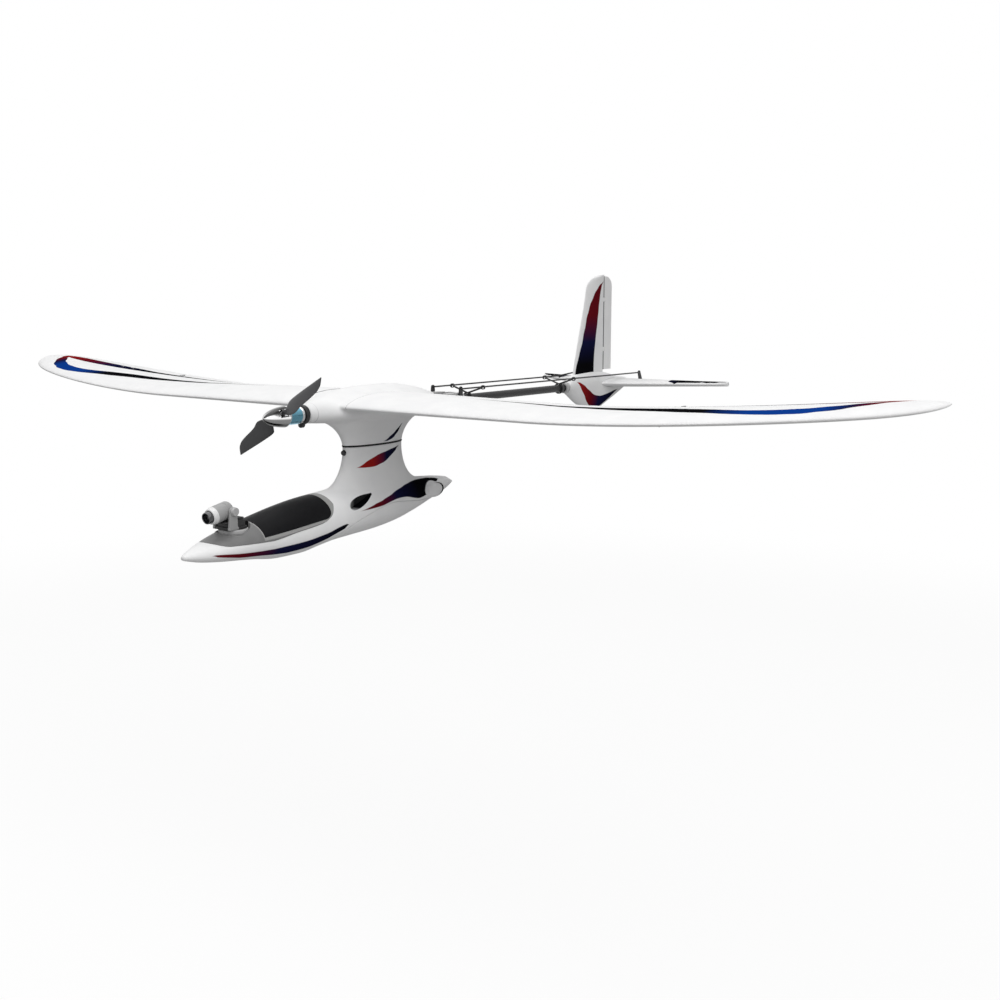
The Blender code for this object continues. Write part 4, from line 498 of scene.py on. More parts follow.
sky = bpy.data.worlds.new("studio")
bpy.context.scene.world = sky
sky.use_nodes = True
sky_nodes = Nodes(sky.node_tree)
strengths = {"Value": seen_directly(sky_nodes), "To Min": SKY_STRENGTH}
strength = sky_nodes.node("ShaderNodeMapRange", None, strengths)
sky_light = sky.node_tree.nodes["Background"]
sky_light.inputs["Color"].default_value = WHITE
sky.node_tree.links.new(strength.socket, sky_light.inputs["Strength"])

print("sky lights at", SKY_STRENGTH)

# %% [markdown]
# The paper also looks white and sends back only a part of the light. Close to the machine it mixes in a
# share of its real shading, so that it keeps a faint shadow.

# %% Paper floor
FLOOR_DROP = 0.30
FLOOR_SIZE = 12
PAPER_BOUNCE = 0.42
PAPER_SEEN = 0.95
SHADOW_SHARE = 0.11
SHADOW_REACH = (0.9, 1.7)

paper = Finish("floor_paper", Roughness=0.9)
seen = seen_directly(paper)
tones = {"Value": seen, "To Min": PAPER_BOUNCE, "To Max": PAPER_SEEN}
paper.feed(Base_Color=paper.node("ShaderNodeMapRange", None, tones))
reach = paper.node("ShaderNodeVectorMath", {"operation": "LENGTH"}, {0: paper.spot}, out="Value")
fade = {"Value": reach, "From Min": SHADOW_REACH[0], "From Max": SHADOW_REACH[1], "To Min": 1 - SHADOW_SHARE}
white = paper.node("ShaderNodeMapRange", {"interpolation_type": "SMOOTHSTEP"}, fade)
glow = paper.node("ShaderNodeEmission", None, {"Color": WHITE})
shaded = Value(paper, paper.shader.outputs[0])
blend = paper.node("ShaderNodeMixShader", None, {0: seen * white, 1: shaded, 2: glow})
paper.tree.links.new(blend.socket, paper.tree.nodes["Material Output"].inputs["Surface"])
bpy.ops.object.select_all(action="DESELECT")
bpy.ops.mesh.primitive_plane_add(size=FLOOR_SIZE, location=(0, 0, -FLOOR_DROP))
floor = named("studio_floor")
floor.data.materials.append(paper.material)
print("floor at", -FLOOR_DROP, "m")

# %% [markdown]
# Both lamps are large, so that the shadows are soft. Each is turned towards the same point near the nacelle,
# in the way that the camera was.

# %% Lamps
LAMP_AIM = (0, 0, 0.1)


def lamp(name, place, aim, size, power):
    bpy.ops.object.select_all(action="DESELECT")
    bpy.ops.object.light_add(type="AREA", location=place)
    made = bpy.context.object
    made.name = name
    made.data.size = size
    made.data.energy = power
    made.rotation_euler = (Vector(place) - Vector(aim)).to_track_quat("Z", "Y").to_euler()
    return made


lamp("top_lamp", (-0.25, -0.45, 1.85), LAMP_AIM, size=2.4, power=30)
lamp("front_lamp", (1.55, -0.95, 1.3), LAMP_AIM, size=2.0, power=20)
print("two lamps aimed at", LAMP_AIM)

# %% [markdown]
# ## Foam and its stripes
# The airframe is moulded bead foam: a matt white skin in which the single beads can just be felt. The
# beads are a Voronoi cell pattern used as a faint bump. The coloured stripes are decals, so they are drawn
# into the finish: each is a tapering band between two edges that follow a few measured stops, and its
# colour runs from dark red to navy and black along the way.

# %% Foam
DARK_RED = (0.125, 0.006, 0.011)
RED = (0.32, 0.014, 0.012)
NAVY = (0.008, 0.009, 0.042)
BLACK = (0.004, 0.004, 0.005)
BLUE = (0.004, 0.040, 0.24)
FOAM_LIGHT = (0.87, 0.87, 0.87)
FOAM_SHADE = (0.83, 0.83, 0.835)
BEADS_PER_METRE = 420.0


def foam(name, *decals):
    made = Finish(name, Roughness=0.6, Specular_IOR_Level=0.0)
    colour = made.ramp(made.noise(55.0, 4.0), [(0.3, FOAM_SHADE), (0.7, FOAM_LIGHT)])
    for decal in decals:
        mask, paint = decal(made)
        colour = made.mix(mask, colour, paint)
    beads = made.node("ShaderNodeTexVoronoi", None, {"Vector": made.spot, "Scale": BEADS_PER_METRE})
    made.feed(Base_Color=colour, Normal=made.bump(beads, 0.10, 0.0005))
    return made.material


# %% [markdown]
# Each decal is a function that gives a mask and its paint. A band runs along one axis and lies across
# another. The mouths of outlet and intake are painted shade in ovals on a sloped line, and a seam is a grey
# line of painted shade in the joint. They could be cut into the mesh, but edges in the finish stay sharp on
# any mesh.

# %% Decals
# Grey of painted shade, for the mouths of outlet and intake and for the seams.
SHADE_GREY = (0.36, 0.36, 0.37)
OUTLET = (-0.0686, 0.0342)
OUTLET_SIZE = (0.0260, 0.0142)
OUTLET_SLOPE = 6.0
INTAKE_AT = (-0.1770, 0.0374)
INTAKE_SIZE = (0.0350, 0.0074)
INTAKE_SLOPE = 13.0
ROOT_SEAM_X = 0.0281
ROOT_SEAM_HALF = 0.0007
RING_SEAM_Y = -0.2195
RING_SEAM_HALF = 0.0004


def axis(made, letter):
    """Place along an axis; the left and the right side share the places along x."""
    return abs(made.x) if letter == "x" else getattr(made, letter)


def band(along, across, stops, colours, limit=None):
    """Decal: a tapering stripe whose colour runs along it."""

    def draw(made):
        run = axis(made, along)
        mask = made.stripe(run, axis(made, across), stops)
        if limit:
            mask = mask * limit(made)
        return mask, made.ramp(run, colours)

    return draw


def leaning(made, centre, slope):
    """Distances along and across a sloped line in side view."""
    lean = math.radians(slope)
    y, z = made.y - centre[0], made.z - centre[1]
    return y * math.cos(lean) + z * math.sin(lean), z * math.cos(lean) - y * math.sin(lean)


def outlet_oval(made, back, grow):
    """1 inside the outlet's oval, which may be moved back and grown."""
    along, across = leaning(made, (OUTLET[0] + back, OUTLET[1]), OUTLET_SLOPE)
    along, across = along * (2 / (OUTLET_SIZE[0] * grow)), across * (2 / (OUTLET_SIZE[1] * grow))
    return ((1 - along * along - across * across) * 12).clamp()


def outlet_shade_crescent(made):
    """Painted shade: a dark crescent at the rear edge of the outlet, for the shade of its opening."""
    crescent = outlet_oval(made, 0.0, 0.96) * (1 - outlet_oval(made, -0.0050, 0.98))
    return crescent, made.ramp(made.y, [(-0.07, SHADE_GREY), (-0.062, BLACK)])


def intake_wall_shade(made):
    """Painted shade on the wall of the drop-shaped intake: black deep in, fading through grey to the foam's
    tone at its front.
    """
    along, across = leaning(made, INTAKE_AT, INTAKE_SLOPE)
    along, across = along * (1.9 / INTAKE_SIZE[0]), across * (2 / INTAKE_SIZE[1])
    inside = (1 - along * along) * (1 - along) * 0.98 + 0.05 - across * across
    paint = made.ramp(along, [(-1.0, FOAM_SHADE), (-0.75, SHADE_GREY), (-0.35, BLACK), (1.0, BLACK)])
    return (inside * 20).clamp() * ((1 - along) * 20).clamp(), paint


def root_seam_shade(made):
    """Painted shade: a grey line where a wing meets its stub, for the shade in the joint."""
    inside = ROOT_SEAM_HALF - abs(abs(made.x) - ROOT_SEAM_X)
    return (inside * 2500).clamp(), (*SHADE_GREY, 1.0)


def ring_seam_shade(made):
    """Painted shade: a fine line round the nose of the nacelle, darker on its lower side."""
    inside = RING_SEAM_HALF - abs(made.y - RING_SEAM_Y)
    return (inside * 3000).clamp(), made.ramp(made.z, [(0.10, SHADE_GREY), (0.13, FOAM_SHADE)])


# %% [markdown]
# Four stripes run along the pod and the pylon. Each stop gives a place along the stripe, the height of its
# middle and its half width; the colours have stops of their own.

# %% Stripes of the pod and the pylon
nose_stripe = band("y", "z", (
    (-0.344, 0.0142, 0.0000), (-0.339, 0.0138, 0.0011), (-0.320, 0.0116, 0.0020),
    (-0.294, 0.0102, 0.0026), (-0.270, 0.0099, 0.0036), (-0.242, 0.0114, 0.0035),
    (-0.221, 0.0149, 0.0029), (-0.204, 0.0193, 0.0020), (-0.199, 0.0205, 0.0000),
), ((-0.344, DARK_RED), (-0.318, DARK_RED), (-0.282, NAVY), (-0.20, BLACK)))
flank_stripe = band("y", "z", (
    (-0.186, 0.0293, 0.0000), (-0.163, 0.0310, 0.0016), (-0.148, 0.0328, 0.0024), (-0.131, 0.0357, 0.0030),
    (-0.113, 0.0375, 0.0048), (-0.101, 0.0372, 0.0070), (-0.090, 0.0370, 0.0080), (-0.078, 0.0380, 0.0066),
    (-0.064, 0.0402, 0.0038), (-0.052, 0.0412, 0.0014), (-0.046, 0.0412, 0.0000),
), (
    (-0.186, DARK_RED), (-0.155, DARK_RED), (-0.128, NAVY), (-0.09, BLACK),
), lambda made: 1 - outlet_oval(made, 0.0, 1.06))
pylon_stripe = band("y", "z", (
    (-0.169, 0.0640, 0.0000), (-0.158, 0.0660, 0.0026), (-0.144, 0.0690, 0.0048),
    (-0.130, 0.0725, 0.0040), (-0.116, 0.0770, 0.0016), (-0.108, 0.0795, 0.0000),
), ((-0.169, RED), (-0.150, RED), (-0.132, NAVY), (-0.110, BLACK)))
head_stripe = band("y", "z", (
    (-0.137, 0.0850, 0.0000), (-0.128, 0.0868, 0.0016), (-0.119, 0.0905, 0.0024), (-0.112, 0.0955, 0.0020),
    (-0.107, 0.1005, 0.0000),
), ((-0.137, NAVY), (-0.107, BLACK)))
pod_foam = foam("pod_foam", nose_stripe, flank_stripe, outlet_shade_crescent, intake_wall_shade, pylon_stripe)
nacelle_foam = foam("nacelle_foam", head_stripe, root_seam_shade, ring_seam_shade)
plain_foam = foam("plain_foam")
print("foam with", BEADS_PER_METRE, "beads per metre")

# %% [markdown]
# ## Pod, pylon and nacelle
# The pod, the two halves of the pylon, the nacelle and the wing stubs flow into each other with soft
# hollows, as moulded foam does. Each is skinned by itself, the skins are welded, and a voxel Remesh with a
# few rounds of smoothing rounds the inner corners. Fillets could also be bevelled edge by edge, but at
# such flowing joins that breaks down quickly.

# %% Measures of the pod
CLEAR = 0.0003
AXIS_Z = 0.1150
POD_NOSE_Y = -0.3616
POD_LENGTH = 0.3418
POD_HEIGHT = 0.0485
POD_HALF_WIDTH = 0.0280
POD_WIDEST = 0.40
POD_TOP = (
    (0, 0.315), (0.05, 0.43), (0.195, 0.70), (0.40, 0.93),
    (0.62, 1.0), (0.82, 0.95), (0.97, 0.85), (1, 0.76),
)
POD_BOTTOM = (
    (0, 0.245), (0.05, 0.165), (0.20, 0.05), (0.27, -0.014), (0.34, -0.018), (0.40, 0.035), (0.46, 0.085),
    (0.52, 0.105), (0.62, 0.135), (0.70, 0.19), (0.78, 0.30), (0.86, 0.43), (0.97, 0.61), (1, 0.70),
)
POD_SIDE = (
    (0, 0.07), (0.02, 0.26), (0.107, 0.70), (0.297, 0.98),
    (0.50, 0.985), (0.736, 0.80), (0.912, 0.42), (1, 0.12),
)


def pod_rib(share):
    top, bottom = POD_HEIGHT * batten(POD_TOP, share), POD_HEIGHT * batten(POD_BOTTOM, share)
    middle = bottom + POD_WIDEST * (top - bottom)
    y = POD_NOSE_Y + POD_LENGTH * share
    rib = oval(y, middle, POD_HALF_WIDTH * batten(POD_SIDE, share), top - middle, middle - bottom, 96)
    return [(x, y, max(0.0, z)) for x, y, z in rib]


def pod_skin(name):
    return skin(name, [pod_rib(share) for share in spread(96)])


print("pod:", POD_LENGTH, "m long and", POD_HEIGHT, "m high")

# %% [markdown]
# The pylon is waisted. Each level is an ellipse that grows towards the foot and the head as a quarter circle
# does, so that it flows out into the pod and into the nacelle.

# %% Measures of the pylon
PYLON_Y = -0.1365
PYLON_FOOT_Z = 0.0455
PYLON_HEAD_Z = 0.1095
PYLON_WAIST_Z = 0.08006
SEAM_Z = 0.08306
GASKET = 0.0012
PYLON_FOOT = (0.0275, 0.0100)
PYLON_HEAD = (0.0470, 0.0080)
PYLON_WAIST = (0.0385, 0.0120)
FOOT_SIDE_DROP = 0.0095
FOOT_ROOT = 0.0065  # how far the foot reaches into the pod
PYLON_LEAN = 0.001


def flare(z, end):
    share = min(1.0, abs((z - PYLON_WAIST_Z) / (end - PYLON_WAIST_Z)))
    return 1 - math.sqrt(1 - share**2)


def pylon_rib(z):
    below = z < PYLON_WAIST_Z
    growth = flare(z, PYLON_FOOT_Z if below else PYLON_HEAD_Z)
    side_growth = flare(z, PYLON_FOOT_Z - FOOT_SIDE_DROP) if below else growth
    reach, spread_out = PYLON_FOOT if below else PYLON_HEAD
    half_length = PYLON_WAIST[0] + reach * growth
    half_width = PYLON_WAIST[1] + spread_out * side_growth
    turns = [math.tau * (k + 0.5) / 96 for k in range(96)]
    middle = PYLON_Y - PYLON_LEAN * growth
    return [(half_width * math.sin(a), middle + half_length * math.cos(a), z) for a in turns]


print("pylon: waist at", PYLON_WAIST_Z, "m and seam at", SEAM_Z, "m")

# %% [markdown]
# The nacelle starts as a circle behind the motor, spreads out to the wing stubs and draws in again towards
# the boom.

# %% Measures of the nacelle
NACELLE_FRONT_Y = -0.2260
NACELLE_REAR_Y = -0.0520
NACELLE_TOP = (
    (0, 0.0078), (0.14, 0.0146), (0.28, 0.0188), (0.45, 0.0213), (0.63, 0.0212), (0.82, 0.0173), (1, 0.0100),
)
NACELLE_BOTTOM = ((0, 0.0078), (0.20, 0.0095), (0.50, 0.0105), (0.85, 0.0105), (1, 0.0070))
NACELLE_SIDE = (
    (0, 0.0078), (0.05, 0.0120), (0.12, 0.0232), (0.19, 0.0268),
    (0.30, 0.0270), (0.60, 0.0268), (0.80, 0.0235), (1, 0.0095),
)


def nacelle_rib(share):
    y = NACELLE_FRONT_Y + (NACELLE_REAR_Y - NACELLE_FRONT_Y) * share
    heights = batten(NACELLE_TOP, share), batten(NACELLE_BOTTOM, share)
    return oval(y, AXIS_Z, batten(NACELLE_SIDE, share), *heights, 96)


print("nacelle:", round(NACELLE_REAR_Y - NACELLE_FRONT_Y, 4), "m long")

# %% [markdown]
# The wing's section is a thin cambered aerofoil. Its planform is straight to a break and then follows a
# quarter ellipse, while the tip curls up, turns its nose down and grows fuller, as moulded foam needs some
# thickness at its edge. The stubs on the nacelle use the same section.

# %% Measures of the wing
WING_ROOT_X = 0.028
WING_BREAK_X = 0.200
WING_HALF_SPAN = 0.500
WING_LEAD_Y = -0.2053
WING_CHORD = 0.1430
WING_Z = 0.1207
WING_TIP_RISE = 0.0230
WING_TIP_SWEEP = 0.0950
WING_THICKNESS = 0.092
WING_CAMBER = 0.030
WING_OUTER_DEPTH = 0.76
WING_WASHOUT = math.radians(3.0)
TIP_TWIST = math.radians(5.0)  # added towards the tip
TIP_FULLNESS = 1.1
CAMBER_PEAK = 0.40
TRAIL_HALF = 0.0030


def wing_bend(x):
    return min(1.0, max(0.0, (abs(x) - WING_BREAK_X) / (WING_HALF_SPAN - WING_BREAK_X)))


def wing_edges(x):
    drawn_in = 1 - math.sqrt(1 - wing_bend(x) ** 2)
    lead = WING_LEAD_Y + WING_TIP_SWEEP * drawn_in
    trail = WING_LEAD_Y + WING_CHORD - (WING_CHORD - WING_TIP_SWEEP) * drawn_in
    return lead, trail


def wing_z(x, y, side):
    """Height of the upper (1), middle (0) or lower (-1) skin."""
    lead, trail = wing_edges(x)
    share = min(1.0, max(0.0, (y - lead) / (trail - lead)))
    p = CAMBER_PEAK
    if share < p:
        camber = WING_CAMBER / p**2 * (2 * p * share - share**2)
    else:
        camber = WING_CAMBER / (1 - p) ** 2 * (1 - 2 * p + 2 * p * share - share**2)
    bend = wing_bend(x)
    fore = 0.2969 * math.sqrt(share) - 0.126 * share
    curve = fore - 0.3516 * share**2 + 0.2843 * share**3 - 0.1036 * share**4
    half = 5 * WING_THICKNESS * curve * (1 + TIP_FULLNESS * bend**4) + TRAIL_HALF * share
    out = min(1.0, max(0.0, (abs(x) - WING_ROOT_X) / (WING_BREAK_X - WING_ROOT_X)))
    depth = (trail - lead) * (1 - (1 - WING_OUTER_DEPTH) * out)
    twist = (y - (lead + trail) / 2) * math.tan(WING_WASHOUT * bend + TIP_TWIST * bend**6)
    return WING_Z + WING_TIP_RISE * bend**1.55 + twist + depth * (camber + side * half)


def wing_rib(x):
    lead, trail = wing_edges(x)
    backs = [lead + (trail - lead) * share for share in spread(40)]
    return [(x, y, wing_z(x, y, 1)) for y in backs[::-1]] + [(x, y, wing_z(x, y, -1)) for y in backs[1:]]


print("wing:", 2 * WING_HALF_SPAN, "m span and", WING_CHORD, "m chord")

# %% [markdown]
# The welded core keeps its hard inner corners at first. After the remesh, a few rounds of smoothing take the
# steps of the voxels away, and many more rounds, weighted by height, round the foot and the head of the
# pylon only. The outlet on each flank is a soft oval scoop, built up in levels that shrink outwards.

# %% Weld the core and soften its corners
VOXEL = 0.0011
OUTLET_LEVELS = (
    (0.0070, 1.0), (0.0170, 1.0), (0.0196, 0.97), (0.0212, 0.90), (0.0220, 0.80), (0.0223, 0.66),
)
SOFT_FOOT = (0.0440, 0.012)  # height of the middle, then the reach up and down
SOFT_HEAD = (0.1060, 0.010)
SOFT_Y = (-0.226, -0.054)
SOFT_HALF_WIDTH = 0.0262


def leaned(centre, along, up, slope):
    """Point at a distance along and across a sloped line in side view."""
    lean = math.radians(slope)
    y = centre[0] + along * math.cos(lean) - up * math.sin(lean)
    return y, centre[1] + along * math.sin(lean) + up * math.cos(lean)


def outlet_skin(side):
    turns = [math.tau * k / 64 for k in range(64)]
    ribs = []
    for out, grow in OUTLET_LEVELS:
        half_length, half_height = OUTLET_SIZE[0] / 2 * grow, OUTLET_SIZE[1] / 2 * grow
        ring = [(half_length * math.cos(turn), half_height * math.sin(turn)) for turn in turns]
        ribs.append([(side * out, *leaned(OUTLET, *point, OUTLET_SLOPE)) for point in ring])
    return skin("outlet", ribs)


core = pod_skin("core")
root_z = PYLON_FOOT_Z - FOOT_ROOT
levels = [root_z + (PYLON_HEAD_Z - root_z) * share for share in spread(60)]
carve(core, skin("pylon_skin", [pylon_rib(z) for z in levels]), "UNION")
carve(core, skin("nacelle_skin", [nacelle_rib(share) for share in spread(72)]), "UNION")
carve(core, skin("stub_skin", [wing_rib(WING_ROOT_X * k / 4) for k in range(-4, 5)]), "UNION")
for side in (1, -1):
    carve(core, outlet_skin(side), "UNION")
modify(core, "REMESH", mode="VOXEL", voxel_size=VOXEL)
modify(core, "SMOOTH", factor=0.5, iterations=6)


def softness(place):
    """1 at the foot and at the head of the pylon, 0 on the plain skins."""
    near = [max(0.0, 1 - abs(place.z - height) / reach) for height, reach in (SOFT_FOOT, SOFT_HEAD)]
    inside = SOFT_Y[0] < place.y < SOFT_Y[1] and abs(place.x) < SOFT_HALF_WIDTH
    return max(near) if inside else 0.0


soft = core.vertex_groups.new(name="soft")
for point in core.data.vertices:
    weight = softness(point.co)
    if weight:
        soft.add([point.index], weight, "REPLACE")
modify(core, "SMOOTH", factor=0.5, iterations=30, vertex_group="soft")
core.vertex_groups.clear()
print("core:", len(core.data.polygons), "faces after the remesh")

# %% [markdown]
# ## Cuts in the pod
# The mould parts the pod into a white shell, a grey cockpit frame, a black canopy and a belly panel. Each
# cut is a side outline pulled straight across the pod. The edges are curves through a few points, and each
# neighbour keeps a hair gap.

# %% Parting lines
FRAME_EDGE = (
    (0.0160, 0.0250), (0.0360, 0.0194), (0.0716, 0.0190), (0.1000, 0.0222),
    (0.1296, 0.0252), (0.1430, 0.0300), (0.1510, 0.0385),
)
SEAM_POINTS = (
    (0.1496, 0.0060), (0.1616, 0.0170), (0.1896, 0.0255), (0.2266, 0.0310),
    (0.2666, 0.0275), (0.3166, 0.0255), (0.3418, 0.0245),
)
CANOPY_FRONT = 0.0666
CANOPY_REAR = 0.1446
CANOPY_EDGE = (0.0225, 0.0289)
CANOPY_CORNER = 0.0090
CANOPY_WALL = 0.0040
BAY_LOW = (-0.0155, POD_NOSE_Y + 0.0700, 0.0080)
BAY_HIGH = (0.0155, POD_NOSE_Y + 0.1390, 0.0485)
EQUIPMENT_LOW = (-0.0130, POD_NOSE_Y + 0.1700, 0.0145)
EQUIPMENT_HIGH = (0.0130, POD_NOSE_Y + 0.2480, 0.0390)
ACROSS = 0.06


def edge_run(points, lift, steps=64):
    first, last = points[0][0], points[-1][0]
    backs = [first + (last - first) * k / steps for k in range(steps + 1)]
    return [(POD_NOSE_Y + back, batten(points, back) + lift) for back in backs]


def frame_region(inset):
    edge = edge_run(FRAME_EDGE, inset)
    edge[-1] = (edge[-1][0] - inset, edge[-1][1])
    return plate("frame_cut", edge + [(edge[-1][0], 0.1), (edge[0][0], 0.1)], "X", -ACROSS, ACROSS)


def canopy_region(inset):
    front, rear = POD_NOSE_Y + CANOPY_FRONT + inset, POD_NOSE_Y + CANOPY_REAR - inset
    slope = (CANOPY_EDGE[1] - CANOPY_EDGE[0]) / (CANOPY_REAR - CANOPY_FRONT)
    low = CANOPY_EDGE[1] + inset
    start, end = (rear - CANOPY_CORNER, low - slope * CANOPY_CORNER), (rear, low + CANOPY_CORNER)
    corner = []
    for share in even(12):
        first, second, third = (1 - share) ** 2, 2 * share * (1 - share), share**2
        corner.append(tuple(first * a + second * b + third * c for a, b, c in zip(start, (rear, low), end)))
    outline = [(front, CANOPY_EDGE[0] + inset), *corner, (rear, 0.1), (front, 0.1)]
    return plate("canopy_cut", outline, "X", -ACROSS, ACROSS)


def belly_region(inset):
    edge = edge_run(SEAM_POINTS, -inset)
    edge[0] = (edge[0][0] + inset, edge[0][1])
    outline = edge + [(0.02, edge[-1][1]), (0.02, -0.05), (edge[0][0], -0.05)]
    return plate("belly_cut", outline, "X", -ACROSS, ACROSS)


def lying_drop(name, size, low, high, sides=56):
    """Drop-shaped bar across the pod: round in front, drawn out to a point behind."""
    outline = []
    for k in range(sides):
        turn = math.tau * (k + 0.5) / sides
        up = size[1] / 1.54 * math.sin(turn) * abs(math.sin(turn / 2))
        outline.append(leaned(INTAKE_AT, size[0] / 2 * math.cos(turn), up, INTAKE_SLOPE))
    return plate(name, outline, "X", low, high)


print("canopy:", round(CANOPY_REAR - CANOPY_FRONT, 4), "m long")

# %% [markdown]
# The core is sawn in two at the pylon's seam. The pod then gets its bays, the socket for the nacelle's
# spigot, the two intakes and the seat of the screw; the nacelle gets the spigot, the bore for the wing's
# joiner and the socket of the boom. The belly panel comes from the plain pod skin.

# %% Pod shell and nacelle
HALF_GAP = GASKET / 2 + CLEAR
CUT_LOW = (-0.6, -0.5, -0.1)
CUT_HIGH = (0.6, 0.1, 0.3)
SPIGOT_HALF = (0.0060, 0.0200)
SPIGOT_DEPTH = 0.0170
INTAKE_DEPTH = 0.0150  # how near the ducts come to the middle
SCREW_SEAT = Vector((0, PYLON_Y - PYLON_WAIST[0], SEAM_Z - 0.0055))
SCREW_FRONT = SCREW_SEAT - Vector((0, 0.004, 0))
SCREW_END = SCREW_SEAT + Vector((0, 0.0093, 0))
JOINER_Y = WING_LEAD_Y + WING_CHORD * 0.32
JOINER_BORE = 0.0033
BOOM_SOCKET = (0.0153, 0.0051)  # depth, then radius


def spigot(grow, top):
    """Tongue that keys the two halves of the pylon to each other."""
    half_x, half_y = (half + grow for half in SPIGOT_HALF)
    foot = SEAM_Z - SPIGOT_DEPTH - grow
    return block("spigot", (-half_x, PYLON_Y - half_y, foot), (half_x, PYLON_Y + half_y, top))


nacelle = duplicate(core, "nacelle_foam_body")
carve(nacelle, block("cut", CUT_LOW, (*CUT_HIGH[:2], SEAM_Z + HALF_GAP)), solver="MANIFOLD")
pod = core
pod.name = pod.data.name = "pod_foam_body"
carve(pod, block("cut", (*CUT_LOW[:2], SEAM_Z - HALF_GAP), CUT_HIGH), solver="MANIFOLD")
for tool in (
    frame_region(0), belly_region(0),
    block("bay", BAY_LOW, BAY_HIGH), block("bay", EQUIPMENT_LOW, EQUIPMENT_HIGH), spigot(CLEAR, 0.1),
    lying_drop("intake", INTAKE_SIZE, INTAKE_DEPTH, ACROSS),
    lying_drop("intake", INTAKE_SIZE, -ACROSS, -INTAKE_DEPTH),
    bar("screw_hole", SCREW_FRONT, SCREW_END, 0.0016), bar("spot_face", SCREW_FRONT, SCREW_SEAT, 0.0029),
):
    carve(pod, tool, solver="MANIFOLD")
JOINER_Z = wing_z(0.0, JOINER_Y, 0)
carve(nacelle, spigot(0.0, SEAM_Z + SPIGOT_DEPTH), "UNION", "MANIFOLD")
joiner_bore = bar("joiner_bore", (-0.1, JOINER_Y, JOINER_Z), (0.1, JOINER_Y, JOINER_Z), JOINER_BORE)
carve(nacelle, joiner_bore, solver="MANIFOLD")
socket_front, socket_rear = NACELLE_REAR_Y - BOOM_SOCKET[0], NACELLE_REAR_Y + 0.01
socket = bar("socket", (0, socket_front, AXIS_Z), (0, socket_rear, AXIS_Z), BOOM_SOCKET[1])
carve(nacelle, socket, solver="MANIFOLD")
hand_over(pod, "airframe", pod_foam, "white_foam", "pod_shell")
hand_over(nacelle, "airframe", nacelle_foam, "white_foam", "nacelle")

belly = pod_skin("belly_foam")
carve(belly, belly_region(CLEAR), "INTERSECT", "MANIFOLD")
carve(belly, block("bay", EQUIPMENT_LOW, EQUIPMENT_HIGH), solver="MANIFOLD")
hand_over(belly, "airframe", pod_foam, "white_foam", "belly_panel")

# %% [markdown]
# ## Hard plastics and rubber
# Injection-moulded plastic has an even colour, a fine grain from the mould and a soft sheen. One function
# makes all of them: the grain is a tiny bump, and a broad noise keeps the sheen from being the same
# everywhere.

# %% Plastic finishes


def plastic(name, colour, roughness, grain=0.05, sheen=0.08, coat=0.0, gloss=0.3, parts=()):
    made = Finish(name, Coat_Weight=coat, Coat_Roughness=0.08, Specular_IOR_Level=gloss)
    cloud = made.noise(90.0, 3.0)
    dark = tuple(c * 0.86 for c in colour)
    tone = made.ramp(cloud, [(0.3, dark), (0.7, colour)])
    for part in parts:
        tone = made.mix(part[0](made), tone, (*part[1], 1.0))
    made.feed(Base_Color=tone)
    made.feed(Roughness=(cloud - 0.5) * sheen + roughness)
    made.feed(Normal=made.bump(made.noise(2600.0, 2.0), grain, 0.0002))
    return made.material


CANOPY_LINE = (
    (POD_NOSE_Y + CANOPY_FRONT, CANOPY_EDGE[0]), (POD_NOSE_Y + CANOPY_REAR, CANOPY_EDGE[1]),
)
RIM = 0.0026


def canopy_rim_highlight(made):
    """1 on a narrow band along the canopy's edge, painted lighter as a highlight on the frame's lip."""
    over = made.z - made.track(made.y, CANOPY_LINE) + RIM
    behind = made.y - (CANOPY_LINE[0][0] - RIM * 0.5)
    return (over * 1200).clamp() * (behind * 1200).clamp()


# The frame's lighter band along the canopy is a painted highlight.
frame_grey = plastic("frame_grey", (0.19, 0.19, 0.19), 0.45, parts=[(canopy_rim_highlight, (0.33, 0.33, 0.325))])
canopy_black = plastic("canopy_black", (0.008, 0.008, 0.009), 0.42, 0.02, 0.06, gloss=0.07)
black_plastic = plastic("black_moulding", (0.014, 0.014, 0.015), 0.42)
tray_grey = plastic("tray_grey", (0.045, 0.046, 0.049), 0.45)
light_grey = plastic("light_grey", (0.50, 0.50, 0.50), 0.42)
blade_grey = plastic("blade_nylon", (0.062, 0.062, 0.065), 0.40, 0.08)
rubber = plastic("black_rubber", (0.010, 0.010, 0.010), 0.75, 0.12)
print("plastics:", frame_grey.name, canopy_black.name, black_plastic.name)

# %% [markdown]
# ## Cockpit frame, canopy and intakes
# The grey frame carries the camera on a sunk round deck, and the smoked canopy lifts off over the battery.
# Both are cut from the same pod skin, so that they stay flush with the foam.

# %% Frame, canopy, intakes
CAMERA_Y = -0.308
DECK_Z = 0.0250
DECK_RADIUS = 0.0135
COLLAR_RADIUS = 0.0148
COLLAR_Z = (0.0195, 0.0272)
VOID_HALF = 0.0125

cockpit = pod_skin("cockpit")
carve(cockpit, frame_region(CLEAR), "INTERSECT", "MANIFOLD")
collar_ends = [(0, CAMERA_Y, z) for z in COLLAR_Z]
collar = bar("collar", *collar_ends, COLLAR_RADIUS, 0.0008, 96)
carve(cockpit, collar, "UNION", "MANIFOLD")
carve(cockpit, canopy_region(0), solver="MANIFOLD")
carve(cockpit, block("bay", BAY_LOW, BAY_HIGH), solver="MANIFOLD")
deck = bar("deck", (0, CAMERA_Y, DECK_Z), (0, CAMERA_Y, 0.1), DECK_RADIUS, sides=96)
carve(cockpit, deck, solver="MANIFOLD")
hand_over(cockpit, "airframe", frame_grey, "grey_plastic", "cockpit_frame")

canopy = pod_skin("canopy")
carve(canopy, canopy_region(CLEAR), "INTERSECT", "MANIFOLD")


